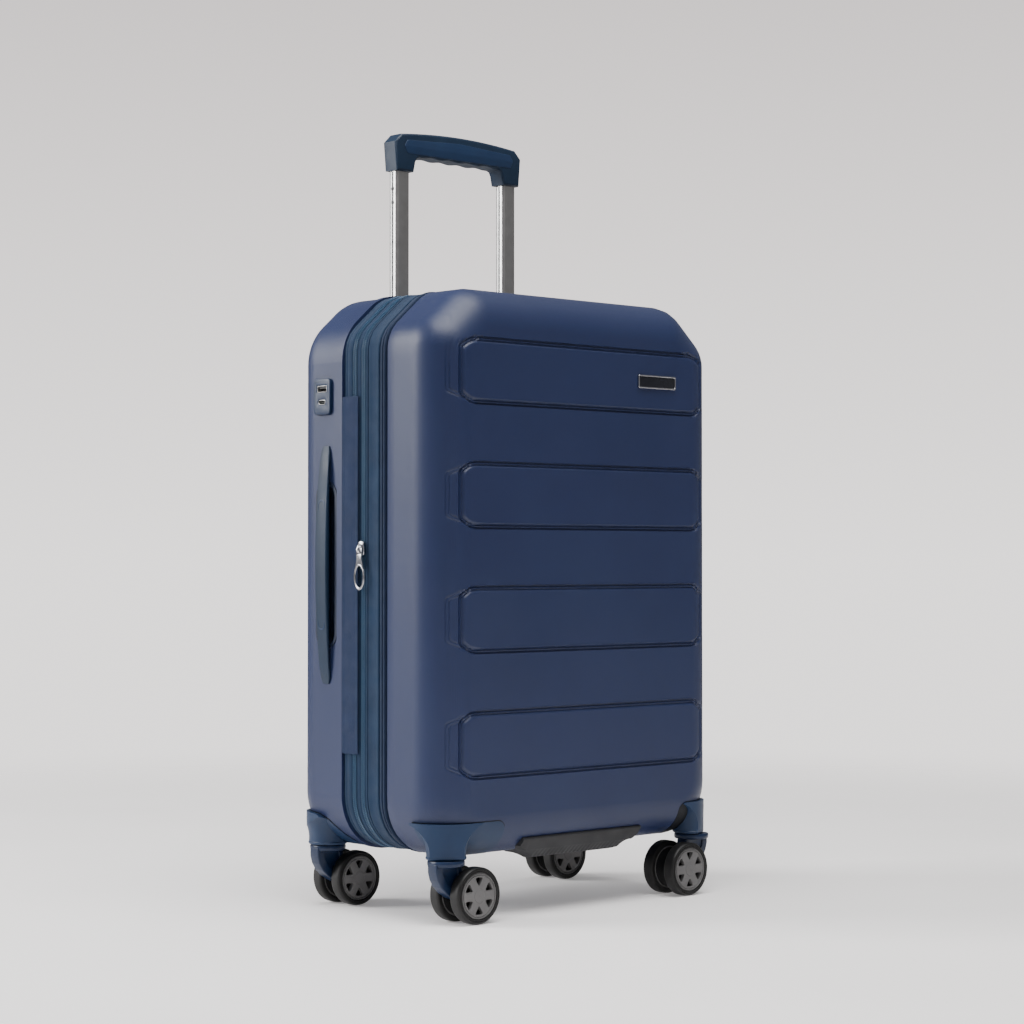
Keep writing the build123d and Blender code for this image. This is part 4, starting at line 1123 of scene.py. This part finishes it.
def tubes():
    """The three pairs of drawn tubes, the middle pair's collars, lock marks and track strips."""
    for name, body, size, foot, top in (
        ("outer_tubes", "back_case", (22.5, 18.0), 76, 513),
        ("middle_tubes", "handle_middle_stage", (19.5, 15.0), 180, 519),
        ("inner_tubes", "handle_top_stage", (16.5, 12.0), 349.5, 696.5),
    ):
        parts = []
        for side in (-1, 1):
            points, faces = tube_shape(size, foot, top)
            moved = [((px + side * TUBE_X) * MM, (py + GRIP_Y) * MM, pz * MM) for px, py, pz in points]
            parts.append((moved, faces))
        put(f"{name}_drawn", merged(parts), body, TUBE, [name], 30)
    for side, way in ((-1, "left"), (1, "right")):
        outer = oblong(11.6, 8.8, 4, 5, side * TUBE_X)
        hole = oblong(8.5, 6.25, 3, 5, side * TUBE_X)
        ring = plate([outer, hole], 2.7, 0.7, above(HANDLE_PLANE, 517.65), 2)
        put(f"tube_collar_{way}", ring, "handle_middle_stage", POCKET)
        # two small lock marks near the top of the tube's outer side
        marks = []
        for z in (668.0, 655.0):
            at = basis(((side * (TUBE_X + 8.22)) * MM, GRIP_Y * MM, z * MM), (0, side, 0), (side, 0, 0))
            marks.append(lathe([(0.1, 0.0), (1.9, 0.0), (2.1, 0.08), (1.7, 0.2), (0.1, 0.1)], at, 24))
        put(f"tube_marks_{way}", merged(marks), "handle_top_stage", DARK)
        strip = brick((side * TUBE_X - 8.36, GRIP_Y - 1.0, 350.5), (side * TUBE_X - 8.2, GRIP_Y + 1.0, 684))
        put(f"tube_track_{way}", strip, "handle_top_stage", DARK)


grip()
push_button()
spring()
tubes()


# ------------------------------------------------------------ carry handles
def strap_top(u):
    """Height of the strap's outer face, from one end at -1 to the other at 1."""
    return 1.4 + 6.4 * (1 - u * u) ** 0.85


def carry_handle(name, node_name, body, place_of, half):
    """A moulded strap: a shallow arch, thick in the middle, with tapered ends over its two tabs."""
    rings = []
    count = 40
    for i in range(count + 1):
        u = -1 + 2 * i / count
        along = u * half
        height = 4.6 + 3.2 * (1 - u * u)
        thick = 1.5 + 2.2 * (1 - abs(u) ** 2.4)
        low = 0.5 + (height - thick - 0.5 - 0.4) * (1 - abs(u) ** 8)
        if abs(u) > 0.86:
            low = 0.45
        top = max(low + 1.0, strap_top(u))
        wide = 8.0 * (1 - 0.28 * abs(u) ** 3)
        if i in (0, count):
            wide, top = wide - 1.6, low + 0.7
        edge = min(1.4, (top - low) / 2)
        edges = [edge * 0.6, edge * 0.6, edge, edge]
        outline = rounded(corners_of((-wide, low), (wide, top)), edges, 4)
        rings.append([tuple(place_of @ Vector((along, across, up))) for across, up in outline])
    strap = capped(rings)
    tabs = []
    for side in (-1, 1):
        middle = side * (half - 8)
        tabs.append(brick((middle - 3, -5, -17), (middle + 3, 5, 1.5), 1.0, place_of))
    outlines = [oblong(half * 0.55, 4.6, 4.4, 6), oblong(half * 0.535, 3.9, 3.8, 6)]
    points, faces = plate(outlines, 0.5, 0.12, place_of, 1)
    lifted = []
    for point in points:
        local = place_of.inverted() @ Vector(point)
        lifted.append(tuple(place_of @ Vector((local.x, local.y, local.z + strap_top(local.x / half)))))
    put(name, merged([strap, *tabs]), body, SOFT, [node_name], 40)
    put(name + "_line", (lifted, faces), body, GUARD, smooth=40)


HANDLE_Y = 0.0566
SIDE_PLACE = basis((-HALF, HANDLE_Y, 0.3125), (0, 0, 1), (-1, 0, 0))
TOP_PLACE = basis((0, HANDLE_Y, TOP), (1, 0, 0), (0, 0, 1))
carry_handle("side_handle_strap", "side_handle", "side_carry_handle", SIDE_PLACE, 107.5)
carry_handle("top_handle_strap", "top_handle", "top_carry_handle", TOP_PLACE, 84.0)


# ------------------------------------------------------------ zip sliders and pulls
def slider(node_name, body, place_of):
    """A tapered slider body with a groove down each side and a raised bridge."""
    outline = [(7 - 2 * (t / 4.7) ** 2, t) for t in (-4.7, -3.4, -2, -0.8, 0.8, 2, 3.4, 4.7)]
    outline += [(-5 - 2 * (1 - (t / 3.6) ** 2), t) for t in (3.6, 2.4, 1.2, 0, -1.2, -2.4, -3.6)]
    base = plate([outline], 2.6, 0.8, above(place_of, 1.65), 3)
    wedge = rounded([(-4.6, -2.6), (5.6, -3.4), (5.6, 3.4), (-4.6, 2.6)], 1.2, 3)
    ridge = plate([wedge], 0.7, 0.3, above(place_of, 3.0), 2)
    arch = [
        (-4.6, 2.75), (-4.2, 4.6), (-3.2, 5.9), (-1.6, 6.33), (1.6, 6.33), (3.2, 5.9), (4.2, 4.6),
        (4.6, 2.75), (2.9, 2.75), (2.6, 4.2), (1.8, 5.0), (-1.8, 5.0), (-2.6, 4.2), (-2.9, 2.75),
    ]
    bridge = plate([arch], 2.2, 0.4, place_of @ Matrix.Rotation(pi / 2, 4, "X"), 2)
    put(node_name + "_cast", merged([base, ridge, bridge]), body, NICKEL, [node_name], 40)


RING_AT = 25


def pull_tab(node_name, body, place_of):
    """The pull: a cross bar, two arms, a flared neck with a line, and an oval ring with a raised edge."""
    flat = above(place_of, 4.05)
    outline = [(4.95, 3.7), (4.95, -3.7), (9, -3.3), (13.2, -4.5)]
    turns = [pi + 0.75 + k * (2 * pi - 1.5) / 40 for k in range(41)]
    outline += [(RING_AT + 12 * cos(t), 7.4 * sin(t)) for t in turns]
    outline += [(13.2, 4.5), (9, 3.3)]
    base = plate([outline[::-1], ellipse(RING_AT, 0, 9.6, 5.2, 44)], 1.5, 0.45, flat, 3)
    arms = [plate([rounded(corners_of((-0.7, s - 0.62), (6.5, s + 0.62)), 0.3, 2)], 1.5, 0.3, flat, 2)
            for s in (-3.1, 3.1)]
    pin = [(0.05, -3.7), (0.6, -3.7), (0.75, -3.5), (0.75, 3.5), (0.6, 3.7), (0.05, 3.7)]
    bar = lathe(pin, flat @ Matrix.Rotation(pi / 2, 4, "X"), 20)
    edges = [ellipse(RING_AT, 0, 11.1, 6.6, 44), ellipse(RING_AT, 0, 10.3, 5.9, 44)]
    raised = plate(edges, 0.5, 0.15, above(flat, 0.75), 1)
    put(node_name + "_cast", merged([base, bar, raised, *arms]), body, NICKEL, [node_name], 40)


# Where the three sliders stand; the left pull lies a little askew.
ZIP_TOP = TOP - 0.2 * MM
LEFT_SWING = radians(16)
LEFT_AT = (0.008, 0.01775, ZIP_TOP)
RIGHT_AT = (0.047, 0.01775, ZIP_TOP)
SIDE_AT = (-HALF + 0.2 * MM, 0.0055, 0.327)
slider("main_slider_left", "left_zip_slider", basis(LEFT_AT))
slider("main_slider_right", "right_zip_slider", basis(RIGHT_AT))
slider("expansion_slider", "expansion_zip_slider", basis(SIDE_AT, (0, 0, -1), (-1, 0, 0)))
pull_tab("main_pull_left", "left_zip_pull", basis(LEFT_AT, (cos(LEFT_SWING), -sin(LEFT_SWING), 0)))
pull_tab("main_pull_right", "right_zip_pull", basis(RIGHT_AT))
pull_tab("expansion_pull", "expansion_zip_pull", basis(SIDE_AT, (0, 0, -1), (-1, 0, 0)))


# ------------------------------------------------------------ badge
def badge():
    """A blank plate: a polished frame round a dark enamel field."""
    at = basis((0.0915, FRONT_Y, 0.483), (1, 0, 0), (0, -1, 0))
    edges = [oblong(25, 6.25, 1.4, 4), oblong(23.6, 4.85, 0.7, 3)]
    field = plate([oblong(23.8, 5.05, 0.6, 3)], 1.3, 0.2, above(at, 0.65), 2)
    border = plate(edges, 2.0, 0.45, above(at, 1.0), 3)
    put("badge_frame", border, "front_case", NICKEL, ["badge"], 40)
    put("badge_field", field, "front_case", ENAMEL, smooth=40)


badge()

# ------------------------------------------------------------ hinge strip, gusset, linings and straps
FINE_COLUMNS = [k / 22 for k in range(-21, 22)]
FINE_STATIONS = side_stations(even_heights(8 * MM), 0.0)


def fine_ring(inset, y):
    """The outline with enough points for cloth."""
    return ring_at(inset, y, FINE_STATIONS, FINE_COLUMNS)


def stitches(start, end, out, pitch=3.4 * MM, length=2.3 * MM, thick=0.28 * MM):
    """A row of short thread stitches between two points, each dipping into the cloth at its ends."""
    along = (end - start).normalized()
    aside = along.cross(out)
    parts = []
    for k in range(int((end - start).length / pitch)):
        middle = start + along * (pitch * (k + 0.5))
        rings = []
        for share, size in ((-0.5, 0.35), (-0.3, 0.9), (0, 1.0), (0.3, 0.9), (0.5, 0.35)):
            spot = middle + along * (share * length) + out * (thick * (0.9 * size - 0.6))
            around_spot = ellipse(0, 0, thick * size, 0.6 * thick * size, 6)
            rings.append([tuple(spot + aside * a + out * b) for a, b in around_spot])
        parts.append(capped(rings))
    return merged(parts)


def hinge_strip():
    """One strip of cloth over the zip on the hinge side, sewn down both its long edges."""
    low, high = 0.1435, 0.4635
    rear, front = 0.033, 0.0111
    rows_out, rows_in = [], []
    across, tall = 26, 160
    for i in range(tall + 1):
        z = low + (high - low) * i / tall
        out_row, in_row = [], []
        for k in range(across + 1):
            u = k / across
            y = rear + (front - rear) * u
            ends = min(1.0, min(i, tall - i) / 3)
            hem = 0.16 * MM if (u < 0.13 or u > 0.87) else 0.0
            wave = 0.06 * MM * sin(z * 190 + 2.2 * u) * sin(pi * u) + 0.3 * MM * sin(pi * u)
            x = -HALF - (0.78 * MM + hem + wave) - 0.18 * MM * ends
            out_row.append((x - 0.2 * MM * ends, y, z))
            in_row.append((-HALF - 0.42 * MM, y, z))
        rows_out.append(out_row)
        rows_in.append(in_row)
    outer = loft(rows_out, around=False)
    inner = loft(rows_in, around=False)
    rims = [loft([rows_out[e], rows_in[e]], around=False) for e in (0, -1)]
    rims += [loft([[row[e] for row in rows_out], [row[e] for row in rows_in]], around=False) for e in (0, -1)]
    strip = mesh_piece("hinge_strip", *merged([outer, inner, *rims]))
    weld(strip, 0.005 * MM)
    settle(strip, None, CLOTH, replaces=["hinge_cloth_rear", "hinge_cloth_front"], smooth=50)
    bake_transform(strip)
    out = Vector((-1, 0, 0))
    for name, body, y in (("rear", "back_case", 0.0313), ("front", "lid_frame", 0.0128)):
        x = -HALF - 1.32 * MM
        line = stitches(Vector((x, y, low + 0.002)), Vector((x, y, high - 0.002)), out)
        put(f"hinge_stitches_{name}", line, body, THREAD, smooth=60)


def gusset():
    """The folded cloth that fills the gap when the expansion zip is opened."""
    folds = [(15.6, 3.15), (7.4, 3.25)]
    spots = 8
    for k in range(spots + 1):
        folds.append((5.4 - (5.4 + 26.0) * k / spots, 4.55 if k % 2 else 3.6))
    folds.append((-30.6, 3.6))
    fine = []
    for (y0, d0), (y1, d1) in zip(folds, folds[1:]):
        for k in range(5):
            t = k / 5
            smooth_t = t * t * (3 - 2 * t)
            fine.append((y0 + (y1 - y0) * t, d0 + (d1 - d0) * smooth_t))
    fine.append(folds[-1])
    profile = fine + [(y, d + 0.42) for y, d in reversed(fine)]
    piece = put("gusset_cloth", swept(profile), None, GUSSET, ["expansion_gusset"], 50)
    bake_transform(piece)


def ripple(x, z, size):
    """Shallow wrinkles of hung lining, from 0 to size."""
    wave = sin(x * 31 + 2.1 * sin(z * 17)) + 0.7 * sin(z * 43 + 1.7 * sin(x * 23)) + 0.5 * sin((x + z) * 71)
    return size * (0.5 + wave / 4.4)


def lining(name, body, node_name, walls, panel, cuts):
    """A thin closed cloth: walls and panel are its two faces, with a lip joining them at the open edge."""
    outer, inner = walls
    lip = loft([outer[0], inner[0]])
    piece = mesh_piece(name, *merged([loft(outer), loft(inner), lip, *panel]))
    weld(piece, 0.02 * MM)
    if cuts:
        tidy = bmesh.new()
        tidy.from_mesh(piece.data)
        part = read_part(tidy)
        bpy.data.objects.remove(piece)
        for cut in cuts:
            part = carve(part, cut)
        piece = mesh_piece(name, *part)
    settle(piece, body, LINING, [node_name], 50)


LINING_BEND = 4 * MM
LINING_EDGE = 0.0342
PANEL_Y = 0.0709
OUTER_INSET = 2.8 * MM
INNER_INSET = 3.3 * MM


def back_walls(inset, panel_y):
    """The back half's side walls, rounded into the panel that hides the handle's tubes."""
    bend = LINING_BEND
    rings = [fine_ring(inset, LINING_EDGE + (panel_y - bend - LINING_EDGE) * k / 5) for k in range(6)]
    for k in range(1, 7):
        turn = k * pi / 12
        rings.append(fine_ring(inset + bend * (1 - cos(turn)), panel_y - bend + bend * sin(turn)))
    return rings


def front_walls(inset):
    """The front half's side walls, following the shell's rounding."""
    radius = FRONT_ROUNDING - inset
    rings = [fine_ring(inset, y) for y in (-0.0332, -0.0425, -0.052)]
    for k in range(13):
        turn = k * pi / 24
        y = FRONT_Y + FRONT_ROUNDING - radius * sin(turn)
        rings.append(fine_ring(inset + radius * (1 - cos(turn)), y))
    return rings


def slack(size, half, low, high, reach):
    """Wrinkles of one size that die out within reach of a panel's edges."""
    def lift(x, z):
        inside = min((half - abs(x)) / reach, (high - z) / reach, (z - low) / reach)
        return ripple(x, z, size) * min(1.0, max(0.0, inside))
    return lift


def linings():
    """The two linings; the back one is cut away round the handle cups, the port and the grip's pocket."""
    outer_y = PANEL_Y + 0.45 * MM
    sag = slack(1.5 * MM, 0.165, 0.07, 0.545, 0.05)
    panel = [
        face_grid(FINE_STATIONS, FINE_COLUMNS, OUTER_INSET + LINING_BEND, outer_y, sag),
        face_grid(FINE_STATIONS, FINE_COLUMNS, INNER_INSET + LINING_BEND, PANEL_Y, sag),
    ]
    walls = (back_walls(OUTER_INSET, outer_y), back_walls(INNER_INSET, PANEL_Y))
    cuts = [
        brick((-185, 41, 200.5), (-158, 69.6, 424.5)), brick((-185, 47, 446.6), (-165, 69.6, 483.5)),
        brick((-88, 41, 537), (88, 69.6, 565)),
    ]
    lining("back_lining_cloth", "back_case", "back_lining", walls, panel, cuts)

    pucker = slack(1.1 * MM, 0.139, 0.095, 0.519, 0.03)
    panel = [
        face_grid(FINE_STATIONS, FINE_COLUMNS, FRONT_ROUNDING, FRONT_Y + inset, pucker)
        for inset in (OUTER_INSET, INNER_INSET)
    ]
    walls = (front_walls(OUTER_INSET), front_walls(INNER_INSET))
    lining("front_lining_cloth", "front_case", "front_lining", walls, panel, [])


def packing_straps():
    """Two crossed straps with a moulded joiner in the middle."""
    middle = (0, 0.0244, (TOP + BOTTOM) / 2)
    prism = capped([ring_at(3.4 * MM, y) for y in (0.01, 0.04)])
    straps, rows = [], []
    for slope in (-1, 1):
        tilt = radians(52) * slope
        lying = basis(middle, (cos(tilt), 0, sin(tilt)), (0, -1, 0))
        band = plate([oblong(290, 11, 1.0, 2)], 1.15, 0.4, lying, 2)
        straps.append(carve(band, prism, "INTERSECT"))
        for way in (-1, 1):
            for aside in (-8.6, 8.6):
                start = lying @ Vector((way * 32, aside, 0.58))
                end = lying @ Vector((way * 240, aside, 0.58))
                rows.append(stitches(start, end, Vector((0, -1, 0)), 5.2 * MM, 3.4 * MM, 0.3 * MM))
    put("strap_webbing", merged(straps), "back_case", WEBBING, ["packing_straps"], 40)
    put("strap_stitches", merged(rows), "back_case", THREAD, smooth=60)
    at = basis((0, 0.0242, middle[2]), (1, 0, 0), (0, -1, 0))
    octagon = [(-24.6, -14), (-14, -23.6), (14, -23.6), (24.6, -14)]
    octagon += [(-x, -y) for x, y in octagon]
    buckle = plate([rounded(octagon, 5, 4)], 5.6, 1.3, at, 3)
    ring = plate([oblong(17, 16, 6, 5), oblong(14.6, 13.6, 4.6, 5)], 0.7, 0.25, above(at, 2.95), 2)
    press = plate([oblong(9, 5, 2.2, 4)], 0.9, 0.35, above(at, 2.9), 2)
    put("strap_buckle", merged([buckle, ring, press]), "back_case", DARK, smooth=40)


hinge_strip()
gusset()
linings()
packing_straps()


# ------------------------------------------------------------ charging port and bottom grip
def charging_port():
    """A raised plate on the back case's side with a USB-A and a USB-C socket."""
    at = basis((-HALF, 0.061, 0.46505), (0, -1, 0), (-1, 0, 0))
    outer = oblong(12, 16.45, 4.4, 6)
    wide_a = rounded(corners_of((-6.85, 3.85), (6.85, 10.05)), 0.8, 3)
    wide_c = rounded(corners_of((-5.1, -7.3), (5.1, -2.8)), 2.2, 6)
    cover = plate([outer, wide_a, wide_c], 3.6, 0.9, above(at, 1.2), 4)
    line = plate([oblong(9.7, 14.1, 3.0, 5), oblong(9.1, 13.5, 2.5, 5)], 0.4, 0.12, above(at, 2.86), 1)
    sleeve = plate([oblong(9.7, 14.1, 1.2, 3), wide_a, wide_c], 11.6, 0.3, above(at, -6.0), 1)
    housing = merged([cover, sleeve, line])
    put("port_cover", housing, "back_case", PORT, ["usb_housing"], 40)
    liners, tongues = [], []
    thick = 0.45
    for (x0, y0), (x1, y1), radius, tongue in (
        ((-6.75, 3.95), (6.75, 9.95), 0.7, ((-5.4, 7.4, -9.5), (5.4, 9.0, 1.0))),
        ((-5.0, -7.2), (5.0, -2.9), 2.1, ((-3.3, -5.4, -9.5), (3.3, -4.7, 1.2))),
    ):
        ring = rounded(corners_of((x0, y0), (x1, y1)), radius, 5)
        inside = corners_of((x0 + thick, y0 + thick), (x1 - thick, y1 - thick))
        hole = rounded(inside, max(0.3, radius - thick), 5)
        liners.append(plate([ring, hole], 12.0, 0.15, above(at, -3.5), 1))
        liners.append(plate([ring], 0.8, 0.1, above(at, -9.8), 1))
        tongues.append(brick(*tongue, 0.25, at))
    put("port_liners", merged(liners), "back_case", STEEL, ["usb_sockets"], 40)
    put("port_tongues", merged(tongues), "back_case", DARK, smooth=40)


def bottom_pad():
    """The moulded hand hold under the front, ribbed where fingers reach, tapering at both ends."""
    corners = [(-92.8, 70), (-87.4, 58.2), (-79, 50.2), (-68, 48.1), (-50.2, 53.2), (-44.4, 60), (-60, 72)]
    section = rounded(corners, [2, 3, 4, 6, 3, 3, 3], 5)
    left, right = -72.8, 76.8
    rings = []
    count = 240
    for i in range(count + 1):
        x = left + (right - left) * i / count
        near = min(x - left, right - x)
        floor_z = 62 - near * 17 / 30 if near < 30 else 45
        rib = 0.45 * (0.5 + 0.5 * cos(2 * pi * x / 5.0)) if near > 14 else 0.0
        ring = []
        for y, z in section:
            under = max(0.0, min(1.0, (58 - z) / 6))
            lifted = max(z + rib * under, floor_z + 0.25 * (z - 48) / 10)
            ring.append((x * MM, y * MM, lifted * MM))
        rings.append(ring)
    pad = carve(capped(rings), case_skin(False, 0.3))
    put("bottom_pad", pad, "front_case", PAD, ["bottom_grip"], 40)


charging_port()
bottom_pad()

# ------------------------------------------------------------ CAD nodes that keep their own shape
KEPT = {
    "back_shell": SHELL, "handle_pocket": POCKET, "side_handle_cup": POCKET, "top_handle_cup": POCKET,
    "tube_brackets": POCKET,
}
for name, finish in KEPT.items():
    NODES[name].data.materials.clear()
    NODES[name].data.materials.append(finish)
